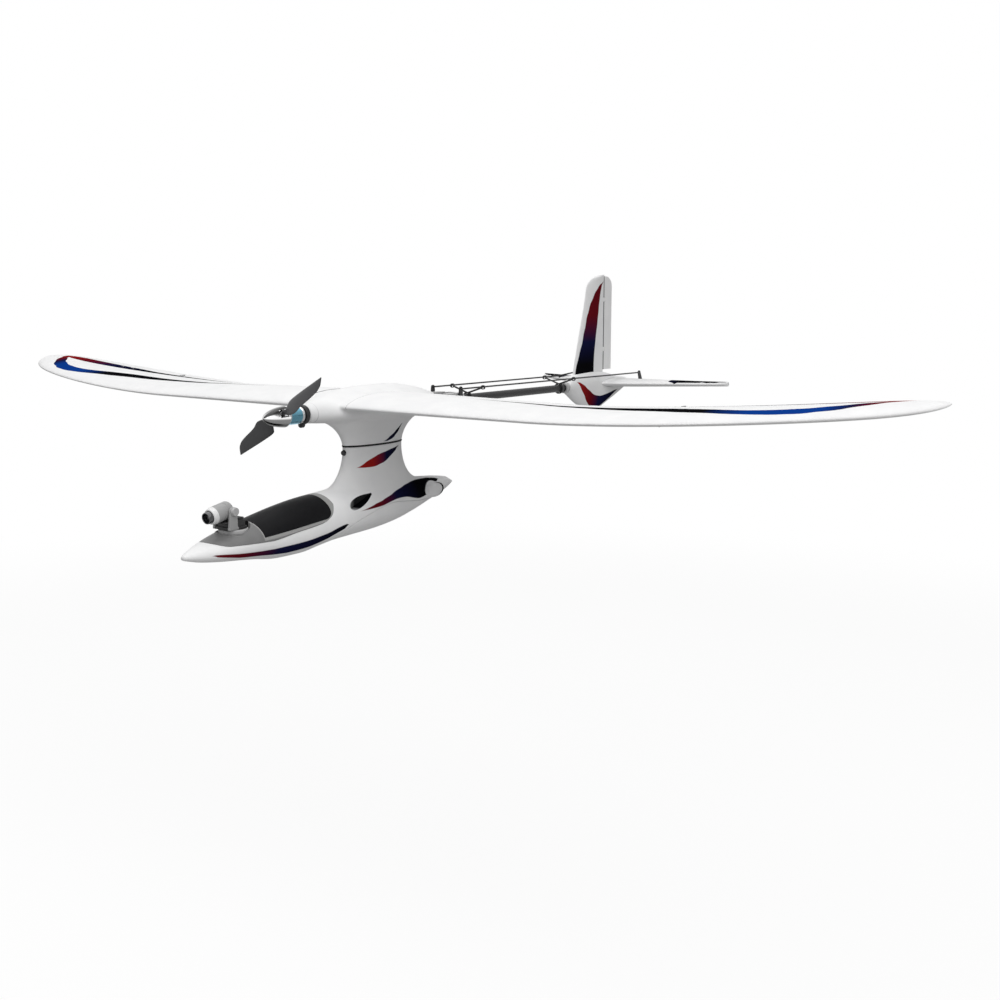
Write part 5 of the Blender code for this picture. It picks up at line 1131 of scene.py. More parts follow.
def canopy_void():
    """Room for the battery under the canopy's roof."""
    front, rear = CANOPY_FRONT + CANOPY_WALL, CANOPY_REAR - 2 * CANOPY_WALL
    roof = [POD_HEIGHT * batten(POD_TOP, back / POD_LENGTH) - CANOPY_WALL for back in (front, rear)]
    outline = [(POD_NOSE_Y + front, roof[0]), (POD_NOSE_Y + rear, roof[1])]
    outline += [(POD_NOSE_Y + rear, 0.0), (POD_NOSE_Y + front, 0.0)]
    return plate("canopy_void", outline, "X", -VOID_HALF, VOID_HALF)


carve(canopy, canopy_void(), solver="MANIFOLD")
hand_over(canopy, "canopy", canopy_black, "black_canopy", "canopy_hatch")

# %% [markdown]
# Each intake is a drop-shaped duct in the pod's flank. A ramp leads down into it from the front, so
# the duct is a drop cut back by a wedge, and its finish changes from a painted shade of grey to black along
# the ramp.

# %% Intake ducts
INTAKE_LIP = 0.0196
INTAKE_FLOOR = 0.0166
RAMP_FRONT = INTAKE_AT[0] - INTAKE_SIZE[0] * 0.46
RAMP_REAR = INTAKE_AT[0] - INTAKE_SIZE[0] * 0.10
DUCT_BLACK = (0.010, 0.010, 0.011)
RAMP_SHADE_GREY = (0.40, 0.40, 0.40)


def intake_ramp_shade(made):
    """1 on the ramp that leads into the duct, where grey is painted as the shade of the slope."""
    return 1 - made.share(made.y, RAMP_FRONT, RAMP_REAR)


duct_finish = plastic("duct_black", DUCT_BLACK, 0.5, gloss=0.1, parts=[(intake_ramp_shade, RAMP_SHADE_GREY)])
wedge = [(INTAKE_LIP, RAMP_FRONT), (INTAKE_FLOOR, RAMP_REAR), (INTAKE_FLOOR, 0.0)]
wedge += [(ACROSS, 0.0), (ACROSS, RAMP_FRONT)]
duct_size = [length - 2 * CLEAR for length in INTAKE_SIZE]
for side, word in ((1, "left"), (-1, "right")):
    duct = lying_drop("intake_" + word, duct_size, INTAKE_DEPTH + CLEAR, INTAKE_LIP)
    carve(duct, plate("ramp", wedge, "Z", 0.0, 0.1))
    mirrored(duct, side)
    hand_over(duct, "airframe", duct_finish, "black_plastic", "air_intake_" + word)

# %% [markdown]
# ## Wings and ailerons
# Each wing is one long skin of aerofoil ribs, closer together towards the curled tip. The aileron is cut
# out with a straight hinge line and hangs on two small lugs. The stripes on the upper skin are thin at the
# root end, widen past the break and meet in red at the tip.

# %% Wing finish
TIP_FRONT_BAND = (
    (0.110, -0.1500, 0.0000), (0.190, -0.1500, 0.0036), (0.250, -0.1580, 0.0064), (0.310, -0.1612, 0.0090),
    (0.345, -0.1655, 0.0078), (0.372, -0.1682, 0.0068), (0.400, -0.1652, 0.0072), (0.420, -0.1580, 0.0076),
    (0.440, -0.1452, 0.0080), (0.458, -0.1278, 0.0066), (0.472, -0.1130, 0.0034), (0.478, -0.1070, 0.0000),
)
TIP_REAR_BAND = (
    (0.160, -0.1200, 0.0000), (0.220, -0.1160, 0.0026), (0.280, -0.1150, 0.0056), (0.340, -0.1155, 0.0092),
    (0.390, -0.1160, 0.0118), (0.430, -0.1145, 0.0114), (0.460, -0.1110, 0.0080), (0.479, -0.1075, 0.0000),
)


def on_top(made):
    """1 on faces that look up."""
    facing = made.node("ShaderNodeTexCoord", out="Normal")
    return made.node("ShaderNodeSeparateXYZ", None, {0: facing}, out=2).over(0.15)


FRONT_COLOURS = (
    (0.11, BLACK), (0.340, BLACK), (0.375, BLUE), (0.425, BLUE), (0.442, NAVY), (0.455, DARK_RED),
    (0.48, RED),
)
REAR_COLOURS = ((0.16, BLACK), (0.33, BLACK), (0.39, NAVY), (0.43, DARK_RED), (0.478, RED))
front_band = band("x", "y", TIP_FRONT_BAND, FRONT_COLOURS, on_top)
rear_band = band("x", "y", TIP_REAR_BAND, REAR_COLOURS, on_top)
wing_foam = foam("wing_foam", front_band, rear_band, root_seam_shade)
print("wing bands between", TIP_FRONT_BAND[0][0], "and", TIP_REAR_BAND[-1][0], "m from the middle")

# %% [markdown]
# A control surface has a round nose on its hinge line, so that the gap ahead of it stays the same as it
# swings. It hangs on small lugs of the fixed piece, each with a cross pin, and is notched and bored for them.

# %% Hinges and flaps
FLAP_GAP = 0.0010
RUNNING = 0.0005
HINGE_LUG = 0.0040
HINGE_LUG_HALF = 0.0013
HINGE_PIN_RADIUS = 0.0006
HINGE_PIN_LENGTH = 0.0140


def leaning_block(name, centre, basis, size, edge=0.0):
    """Box turned to three directions of its own."""
    made = block(name, Vector(size) * -0.5, Vector(size) * 0.5, edge)
    turn = Matrix([list(direction) for direction in basis]).transposed().to_4x4()
    made.data.transform(Matrix.Translation(centre) @ turn)
    return outward(made)


def flap_rib(hinge, trail, height):
    """Round nose on the hinge line, then two skins to the trailing edge."""
    half = (height(hinge, 1) - height(hinge, -1)) / 2
    middle = (height(hinge, 1) + height(hinge, -1)) / 2
    backs = [hinge + (trail - hinge) * share for share in even(16)]
    rib = [(y, height(y, 1)) for y in backs[::-1]]
    for k in range(1, 12):
        angle = math.pi / 2 + math.pi * k / 12
        rib.append((hinge + half * math.cos(angle), middle + half * math.sin(angle)))
    return rib + [(y, height(y, -1)) for y in backs]


def hang(fixed, moving, point, along, nose):
    """Lug and cross pin on the fixed piece; notch and bore in the moving piece."""
    across = along.cross(Vector((0, 1, 0))).normalized()
    back = across.cross(along).normalized()
    basis = (along, back, across)
    root = nose + FLAP_GAP + HINGE_LUG
    middle = point + back * (HINGE_LUG_HALF - root) / 2
    size = Vector((HINGE_LUG, root + HINGE_LUG_HALF, 2 * HINGE_LUG_HALF))
    carve(fixed, leaning_block("lug", middle, basis, size), "UNION", "MANIFOLD")
    room = Vector((2 * RUNNING, 2 * RUNNING, 8 * nose))
    carve(moving, leaning_block("notch", middle, basis, size + room), solver="MANIFOLD")
    half = along * HINGE_PIN_LENGTH / 2
    spare = along * CLEAR
    carve(fixed, bar("pin", point - half, point + half, HINGE_PIN_RADIUS, sides=16), "UNION", "MANIFOLD")
    bore = bar("bore", point - half - spare, point + half + spare, HINGE_PIN_RADIUS + CLEAR, sides=16)
    carve(moving, bore, solver="MANIFOLD")


# %% [markdown]
# The hinge line runs straight from the inner to the outer end of the aileron, at the middle of the wing's
# thickness. Wing ribs stand closer together towards the tip, where the outline bends most.

# %% Ribs of wing and aileron
AILERON_IN_X = 0.185
AILERON_OUT_X = 0.380
AILERON_CHORD = 0.70
AILERON_LUGS = (0.07, 0.93)


def hinge_point(x):
    ends = []
    for station in (AILERON_IN_X, AILERON_OUT_X):
        lead, trail = wing_edges(station)
        y = lead + AILERON_CHORD * (trail - lead)
        ends.append(Vector((station, y, wing_z(station, y, 0))))
    return ends[0].lerp(ends[1], (x - AILERON_IN_X) / (AILERON_OUT_X - AILERON_IN_X))


def aileron_nose(x):
    y = hinge_point(x).y
    return (wing_z(x, y, 1) - wing_z(x, y, -1)) / 2


def wing_stations():
    inner = [WING_ROOT_X + CLEAR + (WING_BREAK_X - WING_ROOT_X - CLEAR) * share for share in even(14)]
    reach = WING_HALF_SPAN - CLEAR - WING_BREAK_X
    return inner + [WING_BREAK_X + reach * math.sin(math.pi / 2 * share) for share in even(46)[1:]]


def aileron_ribs():
    ribs = []
    for share in even(24):
        x = AILERON_IN_X + (AILERON_OUT_X - AILERON_IN_X) * share
        rib = flap_rib(hinge_point(x).y, wing_edges(x)[1], lambda y, side: wing_z(x, y, side))
        ribs.append([(x, y, z) for y, z in rib])
    return ribs


print("aileron:", round(AILERON_OUT_X - AILERON_IN_X, 4), "m long")

# %% [markdown]
# Wing and aileron are skinned over these ribs, and a gap is cut between them. The lower skin also has a
# pocket for the servo and a slot for its arm. The right side is a mirrored copy.

# %% Wing and aileron bodies
SERVO_LOW = Vector((0.273, -0.158, 0.0))
SERVO_HIGH = Vector((0.291, -0.138, 0.0))
SERVO_DEPTH = 0.0075
WING_ARM_X = 0.2913
JOINER_END_X = 0.1453
WING_ROD_X = 0.2937
ROD_ROOM = 0.0012
WING_ARM_Y = -0.143
BELOW = 0.05  # how far a cut runs on below the skin
ARM_THICKNESS = 0.0015
ARM_TIP = 0.0022
HORN_FOOT = (0.0010, 0.0070)
WING_ARM_RADIUS = 0.0080
WING_ARM_HUB = 0.0026

servo_base = max(wing_z(SERVO_HIGH.x, y, -1) for y in (SERVO_LOW.y, SERVO_HIGH.y)) + CLEAR
arm_pivot = Vector((WING_ARM_X, WING_ARM_Y, servo_base + SERVO_DEPTH / 2))
wing = skin("wing_foam_left", [wing_rib(x) for x in wing_stations()])
aileron = skin("aileron_foam_left", aileron_ribs())
inner, outer = AILERON_IN_X - FLAP_GAP, AILERON_OUT_X + FLAP_GAP
wall = [(x, hinge_point(x).y - aileron_nose(x) - FLAP_GAP) for x in (inner, outer)]
pocket_low = (SERVO_LOW.x - CLEAR, SERVO_LOW.y - CLEAR, servo_base - BELOW)
pocket_high = (SERVO_HIGH.x + CLEAR, SERVO_HIGH.y + CLEAR, servo_base + SERVO_DEPTH + CLEAR)
arm_reach = WING_ARM_RADIUS + ARM_TIP + 2 * CLEAR
slot_low = (WING_ARM_X - 2 * CLEAR, arm_pivot.y - arm_reach, 0.0)
slot_high = (WING_ROD_X + ROD_ROOM, arm_pivot.y + arm_reach, arm_pivot.z + WING_ARM_HUB + 2 * CLEAR)
for tool in (
    plate("gap", [*wall, (outer, 0.1), (inner, 0.1)], "Z", 0.0, 0.3),
    bar("joiner_bore", (0, JOINER_Y, JOINER_Z), (JOINER_END_X, JOINER_Y, JOINER_Z), JOINER_BORE),
    block("servo_pocket", pocket_low, pocket_high),
    block("arm_slot", slot_low, slot_high),
):
    carve(wing, tool, solver="MANIFOLD")
hinge_in, hinge_out = hinge_point(AILERON_IN_X), hinge_point(AILERON_OUT_X)
hinge_run = (hinge_out - hinge_in).normalized()
for share in AILERON_LUGS:
    point = hinge_in.lerp(hinge_out, share)
    hang(wing, aileron, point, hinge_run, aileron_nose(point.x))
horn = hinge_point(WING_ARM_X)
horn_top = horn.z + aileron_nose(WING_ARM_X) * 0.5 + CLEAR
slot_low = (WING_ARM_X - CLEAR, horn.y - ARM_TIP - CLEAR, horn.z - BELOW)
slot_high = (WING_ARM_X + ARM_THICKNESS + CLEAR, horn.y + HORN_FOOT[1] + CLEAR, horn_top)
carve(aileron, block("horn_slot", slot_low, slot_high), solver="MANIFOLD")
wings = {"left": wing, "right": mirrored(duplicate(wing, "wing_foam_right"), -1)}
ailerons = {"left": aileron, "right": mirrored(duplicate(aileron, "aileron_foam_right"), -1)}
for word in wings:
    hand_over(wings[word], "airframe", wing_foam, "white_foam", "wing_" + word)
for word in ailerons:
    hand_over(ailerons[word], word + "_aileron", wing_foam, "white_foam", "aileron_" + word)

# %% [markdown]
# ## Tail
# The fairing is a slim pod over the end of the boom. The fin is slotted into its top and the swept
# tailplane passes through it; both are flat foam with a rounded nose. Their stripes are bands as on the
# pod. A dark line on the rudder's nose stands for the shade in the gap that the fin leaves there.

# %% Tail finish
HINGE_LINE_Y = 0.2742
HINGE_GREY = (0.10, 0.10, 0.105)


def hinge_line(made):
    """Dark gap in front of the rudder's round nose."""
    return ((HINGE_LINE_Y - made.y) * 2500).clamp(), (*HINGE_GREY, 1.0)


fin_band = band("z", "y", (
    (0.124, 0.2300, 0.0200), (0.142, 0.2325, 0.0176), (0.160, 0.2375, 0.0150),
    (0.178, 0.2425, 0.0136), (0.196, 0.2475, 0.0122), (0.210, 0.2525, 0.0096),
    (0.222, 0.2590, 0.0062), (0.230, 0.2660, 0.0026), (0.2345, 0.2725, 0.0000),
), ((0.124, BLACK), (0.140, BLACK), (0.165, NAVY), (0.195, DARK_RED), (0.234, DARK_RED)))
keel_band = band("y", "z", (
    (0.206, 0.1210, 0.0000), (0.214, 0.1160, 0.0036), (0.224, 0.1080, 0.0062), (0.236, 0.1000, 0.0078),
    (0.250, 0.0960, 0.0076), (0.266, 0.0985, 0.0056), (0.284, 0.1040, 0.0030), (0.302, 0.1085, 0.0000),
), ((0.208, RED), (0.236, DARK_RED), (0.252, NAVY), (0.302, BLACK)))
tip_band = band("x", "y", (
    (0.062, 0.3660, 0.0000), (0.070, 0.3345, 0.0315), (0.080, 0.3364, 0.0296), (0.100, 0.3436, 0.0224),
    (0.108, 0.3466, 0.0194), (0.116, 0.3502, 0.0158), (0.1225, 0.3540, 0.0120), (0.125, 0.3562, 0.0098),
), ((0.062, NAVY), (0.080, BLACK), (0.125, BLACK)), on_top)
fin_foam = foam("fin_foam", fin_band)
fairing_foam = foam("fairing_foam", keel_band)
rudder_foam = foam("rudder_foam", hinge_line)
tailplane_foam = foam("tailplane_foam", tip_band)
print("tail finishes:", fin_foam.name, fairing_foam.name, rudder_foam.name, tailplane_foam.name)

# %% [markdown]
# Fin and tailplane are slabs: a half ellipse in front of the thickest place and a straight taper behind it.
# One rib function serves both, standing up for the fin and lying down for the tailplane.

# %% Flat section
THICKEST = 0.30
EDGE_HALF = 0.0004


def slab_half(share, half):
    if share < THICKEST:
        return max(EDGE_HALF, half * math.sqrt(max(0.0, 1 - (1 - share / THICKEST) ** 2)))
    return half + (EDGE_HALF - half) * (share - THICKEST) / (1 - THICKEST)


def slab_rib(lead, trail, half, last=1.0):
    shares = [last * share**1.8 for share in even(28)]
    upper = [(lead + (trail - lead) * s, slab_half(s, half)) for s in shares[::-1]]
    return upper + [(y, -h) for y, h in upper[::-1]]


# %% [markdown]
# The fin leans back and ends in a round top. Behind it hangs the rudder, whose own top is drawn in as a
# quarter of an ellipse. Both are skinned level by level.

# %% Ribs of fin and rudder
TAIL_Y = 0.1942
FIN_FOOT = 0.0075
FIN_TOP = 0.1260
FIN_LEAD = (
    (0.0075, 0.0130), (0.0160, 0.0148), (0.0960, 0.0378),
    (0.1130, 0.0420), (0.1210, 0.0520), (0.1260, 0.0720),
)
FIN_HALF = (0.0036, 0.0018)
RUDDER_HINGE = 0.0800
RUDDER_CHORD = 0.0180
RUDDER_BOTTOM = 0.0172
RUDDER_TOP = 0.1245
RUDDER_ROUND = 0.0120


def fin_half(level):
    return FIN_HALF[0] + (FIN_HALF[1] - FIN_HALF[0]) * level / FIN_TOP


def rudder_nose(level):
    lead = batten(FIN_LEAD, min(level, FIN_TOP - RUDDER_ROUND))
    trail = RUDDER_HINGE + RUDDER_CHORD
    return slab_half((RUDDER_HINGE - lead) / (trail - lead), fin_half(level))


def fin_skin(name, grow, foot):
    ribs = []
    trail = RUDDER_HINGE + RUDDER_CHORD
    for share in even(44):
        level = foot + (FIN_TOP - foot) * math.sin(math.pi / 2 * share)
        lead = batten(FIN_LEAD, level) - grow
        wall = RUDDER_HINGE - rudder_nose(level) - FLAP_GAP + grow
        rib = slab_rib(lead, trail, fin_half(level) + grow, (wall - lead) / (trail - lead))
        ribs.append([(h, TAIL_Y + y, AXIS_Z + level) for y, h in rib])
    return skin(name, ribs)


def rudder_skin(name):
    straight = RUDDER_TOP - RUDDER_ROUND
    levels = [RUDDER_BOTTOM + (straight - RUDDER_BOTTOM) * share for share in even(24)]
    levels += [straight + RUDDER_ROUND * math.sin(math.pi / 2 * share) for share in even(14)[1:]]
    ribs = []
    for level in levels:
        over = max(0.0, (level - straight) / RUDDER_ROUND)
        chord = RUDDER_CHORD * (0.25 + 0.75 * math.sqrt(max(0.0, 1 - over**2)))
        nose = rudder_nose(level)

        def height(y, side):
            return side * (nose + (EDGE_HALF - nose) * max(0.0, y - RUDDER_HINGE) / chord)

        rib = flap_rib(RUDDER_HINGE, RUDDER_HINGE + chord, height)
        ribs.append([(h, TAIL_Y + y, AXIS_Z + level) for y, h in rib])
    return skin(name, ribs)


print("fin:", FIN_TOP, "m above the boom's axis")

# %% [markdown]
# The tailplane is skinned from tip to tip and the elevator between its two ends. Both take their height from
# one function, so that they stay flush.

# %% Ribs of tailplane and elevator
TAILPLANE_Z = 0.0018
TAILPLANE_HALF_SPAN = 0.1250
TAILPLANE_LEAD = (
    (0, 0.0600), (0.0150, 0.0660), (0.0700, 0.1040),
    (0.1080, 0.1320), (0.1200, 0.1430), (0.1250, 0.1510),
)
TAILPLANE_TRAIL = ((0, 0.1674), (0.1080, 0.1674), (0.1200, 0.1625), (0.1250, 0.1540))
TAILPLANE_HALF = (0.0050, 0.0026)
ELEVATOR_HINGE = 0.1370
ELEVATOR_HALF_SPAN = 0.1000


def tailplane_edges(x):
    return batten(TAILPLANE_LEAD, abs(x)), batten(TAILPLANE_TRAIL, abs(x))


def tailplane_half(x):
    return TAILPLANE_HALF[0] + (TAILPLANE_HALF[1] - TAILPLANE_HALF[0]) * abs(x) / TAILPLANE_HALF_SPAN


def tailplane_z(x, y, side):
    lead, trail = tailplane_edges(x)
    return TAILPLANE_Z + side * slab_half((y - lead) / (trail - lead), tailplane_half(x))


def tailplane_skin(name, grow):
    shares = [math.sin(math.pi / 2 * share) for share in even(40)]
    stations = [-s * TAILPLANE_HALF_SPAN for s in shares[:0:-1]] + [s * TAILPLANE_HALF_SPAN for s in shares]
    ribs = []
    for x in stations:
        lead, trail = tailplane_edges(x)
        rib = slab_rib(lead - grow, trail, tailplane_half(x) + grow)
        ribs.append([(x, TAIL_Y + y, AXIS_Z + TAILPLANE_Z + h) for y, h in rib])
    return skin(name, ribs)


def elevator_nose(x):
    return (tailplane_z(x, ELEVATOR_HINGE, 1) - tailplane_z(x, ELEVATOR_HINGE, -1)) / 2


def elevator_skin(name):
    ribs = []
    for share in even(40):
        x = ELEVATOR_HALF_SPAN * (2 * share - 1)
        rib = flap_rib(ELEVATOR_HINGE, tailplane_edges(x)[1], lambda y, side: tailplane_z(x, y, side))
        ribs.append([(x, TAIL_Y + y, AXIS_Z + h) for y, h in rib])
    return skin(name, ribs)


print("tailplane:", 2 * TAILPLANE_HALF_SPAN, "m span")

# %% [markdown]
# The fairing is a slim body of oval ribs, deeper below the boom than above it.

# %% Ribs of the fairing
FAIRING_LENGTH = 0.1330
FAIRING_TOP = ((0, 0.0066), (0.12, 0.0140), (0.31, 0.0165), (0.60, 0.0140), (0.80, 0.0092), (1, 0.0058))
FAIRING_BOTTOM = ((0, 0.0066), (0.20, 0.0215), (0.42, 0.0290), (0.70, 0.0185), (1, 0.0045))
FAIRING_SIDE = ((0, 0.0066), (0.30, 0.0092), (0.60, 0.0092), (0.85, 0.0060), (1, 0.0030))


def fairing_rib(share):
    heights = batten(FAIRING_TOP, share), batten(FAIRING_BOTTOM, share)
    return oval(TAIL_Y + FAIRING_LENGTH * share, AXIS_Z, batten(FAIRING_SIDE, share), *heights, 64)


print("fairing:", FAIRING_LENGTH, "m long")

# %% [markdown]
# The fairing is slotted with slightly grown copies of the fin and the tailplane. Rudder and elevator hang on
# lugs like the ailerons, and each has a cut for the foot of its horn.

# %% Put the tail together
BOOM_SEAT = 0.0300
BOOM_RADIUS = 0.0040
ARM_X = (0.0162, 0.0177)
ROD_X = 0.0188
ARM_PIVOT_Z = 0.1168
ROD_Z = 0.1268
RUDDER_Y = TAIL_Y + RUDDER_HINGE
RUDDER_LUGS = (0.22, 0.75)
RUDDER_HORN_UP = 0.0035
RUDDER_HORN_REACH = 0.0120
ELEVATOR_Y = TAIL_Y + ELEVATOR_HINGE
ELEVATOR_LUGS = (-0.7, 0.7)

fairing = skin("fairing_foam", [fairing_rib(share) for share in spread(56)])
carve(fairing, tailplane_skin("slot", CLEAR))
carve(fairing, fin_skin("slot", CLEAR, FIN_FOOT - CLEAR))
seat_ends = [(0, y, AXIS_Z) for y in (TAIL_Y - 0.01, TAIL_Y + BOOM_SEAT + CLEAR)]
carve(fairing, bar("boom_seat", *seat_ends, BOOM_RADIUS + CLEAR))
fin = fin_skin("fin_foam", 0.0, FIN_FOOT)
rudder = rudder_skin("rudder_foam")
for share in RUDDER_LUGS:
    level = RUDDER_BOTTOM + (RUDDER_TOP - RUDDER_BOTTOM) * share
    hang(fin, rudder, Vector((0, RUDDER_Y, AXIS_Z + level)), Vector((0, 0, 1)), rudder_nose(level))
horn_z = AXIS_Z + RUDDER_BOTTOM + RUDDER_HORN_UP
horn_depth = rudder_nose(RUDDER_BOTTOM) * 0.4
notch_low = (-RUDDER_HORN_REACH, RUDDER_Y + HORN_FOOT[0] - CLEAR, horn_z - CLEAR)
notch_high = (CLEAR - horn_depth, RUDDER_Y + HORN_FOOT[1] + CLEAR, horn_z + ARM_THICKNESS + CLEAR)
carve(rudder, block("horn_notch", notch_low, notch_high), solver="MANIFOLD")

tailplane = tailplane_skin("tailplane_foam", 0.0)
outer = ELEVATOR_HALF_SPAN + FLAP_GAP
wall = [(x, ELEVATOR_Y - elevator_nose(x) - FLAP_GAP) for x in (-outer, 0.0, outer)]
carve(tailplane, plate("gap", [*wall, (outer, 0.4), (-outer, 0.4)], "Z", 0.0, 0.2), solver="MANIFOLD")
elevator = elevator_skin("elevator_foam")
for share in ELEVATOR_LUGS:
    point = Vector((share * ELEVATOR_HALF_SPAN, ELEVATOR_Y, ARM_PIVOT_Z))
    hang(tailplane, elevator, point, Vector((1, 0, 0)), elevator_nose(point.x))
horn_depth = elevator_nose(ARM_X[0]) * 0.5
slot_low = (ARM_X[0] - CLEAR, ELEVATOR_Y - ARM_TIP - CLEAR, ARM_PIVOT_Z - horn_depth - CLEAR)
slot_high = (ARM_X[1] + CLEAR, ELEVATOR_Y + HORN_FOOT[1] + CLEAR, 0.2)
carve(elevator, block("horn_slot", slot_low, slot_high), solver="MANIFOLD")
hand_over(fairing, "airframe", fairing_foam, "white_foam", "tail_fairing")
hand_over(fin, "airframe", fin_foam, "white_foam", "fin")
hand_over(rudder, "rudder_surface", rudder_foam, "white_foam", "rudder")
hand_over(tailplane, "airframe", tailplane_foam, "white_foam", "tailplane")
hand_over(elevator, "elevator_surface", tailplane_foam, "white_foam", "elevator")

# %% [markdown]
# ## Metals and carbon
# Polished aluminium mirrors the room and shows fine turning marks round its axis; the motor's bell is the
# same metal dyed blue, with bare rims. On a curved flank a mirror shows a room as bright and dark bands, so
# both have such bands painted into their colour round the axis, as a painted reflection.

# %% Metals
# Painted reflection: how bright the metal's colour is painted at each angle round the motor's axis.
PAINTED_REFLECTION_BANDS = (
    (-180, 0.30), (-120, 0.10), (-80, 0.03), (-62, 0.04), (-48, 0.16), (-25, 0.22), (-12, 0.30), (-3, 0.92),
    (14, 0.96), (24, 0.40), (32, 0.07), (55, 0.045), (72, 0.10), (95, 0.45), (140, 0.70), (180, 0.30),
)
BELL_PAINTED_REFLECTION = (
    (-180, 0.5), (-90, 0.95), (-62, 1.0), (-48, 0.55), (-15, 0.38),
    (12, 0.50), (40, 0.85), (62, 1.5), (90, 1.3), (180, 0.5),
)
BELL_ENDS = (-0.2503, -0.2318)
BELL_SILVER = (0.86, 0.88, 0.90)
BELL_BLUE = (0.19, 0.46, 0.60)


def round_axis(made):
    """Angle about the motor's axis in degrees, 0 to the left and 90 on top."""
    return (made.z - AXIS_Z).math("ARCTAN2", made.x) * math.degrees(1.0)


def polish_with_painted_reflection(name):
    """Polished metal with a painted reflection: bright and dark bands of a workshop painted into its colour
    round the axis.
    """
    made = Finish(name, Metallic=1.0)
    grain = made.noise(1.0, 2.0, (500.0, 9000.0, 500.0))
    # Painted reflection: bright and dark bands by angle round the axis, fixed in the base colour.
    bands = made.track(round_axis(made), PAINTED_REFLECTION_BANDS) + (grain - 0.5) * 0.05
    made.feed(Base_Color=made.ramp(bands, [(0.0, (0.0, 0.0, 0.0)), (1.0, (1.0, 1.0, 1.0))]))
    made.feed(Roughness=grain * 0.10 + 0.12)
    return made.material


def metal(name, colour, roughness, marks=0.10, stretch=(400.0, 9000.0, 400.0)):
    made = Finish(name, Metallic=1.0)
    grain = made.noise(1.0, 2.0, stretch)
    bright = tuple(min(1.0, c * 1.08) for c in colour)
    dull = tuple(c * 0.90 for c in colour)
    made.feed(Base_Color=made.ramp(grain, [(0.3, dull), (0.7, bright)]))
    made.feed(Roughness=(grain - 0.5) * marks + roughness)
    return made.material


def anodised(name, first, last, rim):
    """Blue dye between two bare rims along the machine's length, with painted reflection bands round the
    axis.
    """
    made = Finish(name, Metallic=1.0)
    grain = made.noise(1.0, 2.0, (300.0, 7000.0, 300.0))
    bare = [(place, BELL_SILVER) for place in (first, first + rim, last - rim, last)]
    dyed = [(place, BELL_BLUE) for place in (first + rim * 1.2, last - rim * 1.2)]
    dye = made.ramp(made.y, bare[:2] + dyed + bare[2:])
    # Painted reflection: the dye is made brighter and darker by angle round the axis.
    bands = made.track(round_axis(made), BELL_PAINTED_REFLECTION)
    inputs = {0: dye, 3: bands}
    made.feed(Base_Color=made.node("ShaderNodeVectorMath", {"operation": "SCALE"}, inputs))
    made.feed(Roughness=grain * 0.12 + 0.20)
    return made.material


# %% [markdown]
# The boom is a carbon tube: two sets of fibres cross each other, and a clear resin lies over them. The lens
# and the small things under the canopy take their finishes from the functions above.

# %% Carbon, glass and the rest
CARBON_DARK = (0.008, 0.008, 0.009)
CARBON_LIGHT = (0.032, 0.032, 0.034)
FIBRE_TILT = 0.8
FIBRE_SCALE = 260.0


def carbon(name):
    made = Finish(name, Roughness=0.42, Coat_Weight=0.06, Coat_Roughness=0.2, Specular_IOR_Level=0.2)
    waves = []
    for tilt in (FIBRE_TILT, -FIBRE_TILT):
        turn = made.node("ShaderNodeMapping", None, {"Vector": made.spot, "Rotation": (tilt, tilt, 0.0)})
        inputs = {"Vector": turn, "Scale": FIBRE_SCALE, "Distortion": 0.4}
        waves.append(made.node("ShaderNodeTexWave", None, inputs, out=1))
    weave = waves[0] * 0.5 + waves[1] * 0.5
    made.feed(Base_Color=made.ramp(weave, [(0.2, CARBON_DARK), (0.8, CARBON_LIGHT)]))
    made.feed(Normal=made.bump(weave, 0.12, 0.0003))
    return made.material


spinner_chrome = polish_with_painted_reflection("spinner_chrome")
aluminium = metal("polished_aluminium", (0.62, 0.62, 0.63), 0.22)
steel = metal("bright_steel", (0.62, 0.62, 0.63), 0.25)
carbon_tube = carbon("carbon_tube")
bell_blue = anodised("bell_blue", *BELL_ENDS, 0.0026)
lens_glass = plastic("lens_glass", (0.006, 0.007, 0.010), 0.06, 0.0, 0.02, coat=1.0)
copper = metal("copper_wire", (0.72, 0.33, 0.16), 0.35, 0.2, (3000.0, 300.0, 3000.0))
wrap = plastic("battery_wrap", (0.012, 0.025, 0.16), 0.30, 0.02)
board = plastic("circuit_board", (0.010, 0.060, 0.022), 0.40, 0.10)
print("metals:", aluminium.name, steel.name, bell_blue.name)

# %% [markdown]
# ## Motor, spinner and folding blades
# The bell, the mount and the spinner are lathe work, so each is one profile spun about the motor's axis.

# %% Motor mount and bell
FORWARD = Vector((0, -1, 0))
NUB_Y = (-0.2268, -0.2308)
NUB_DROP = 0.0084
NUB_RADIUS = 0.0026
BELL_REAR_Y = BELL_ENDS[1]
BELL_LENGTH = 0.0185

mount_profile = [(0, 0), (0.0080, 0), (0.0084, 0.0005), (0.0084, 0.0036), (0.0080, 0.0042), (0.0066, 0.0045)]
mount_profile += [(0.0064, 0.0050), (0, 0.0050)]
mount = turned("mount_ring", mount_profile, (0, NACELLE_FRONT_Y - CLEAR, AXIS_Z), FORWARD, 72)
nub_ends = [(0, y, AXIS_Z - NUB_DROP) for y in NUB_Y]
carve(mount, bar("nub", *nub_ends, NUB_RADIUS, 0.0006), "UNION")
hand_over(mount, "airframe", black_plastic, "black_plastic", "motor_mount")

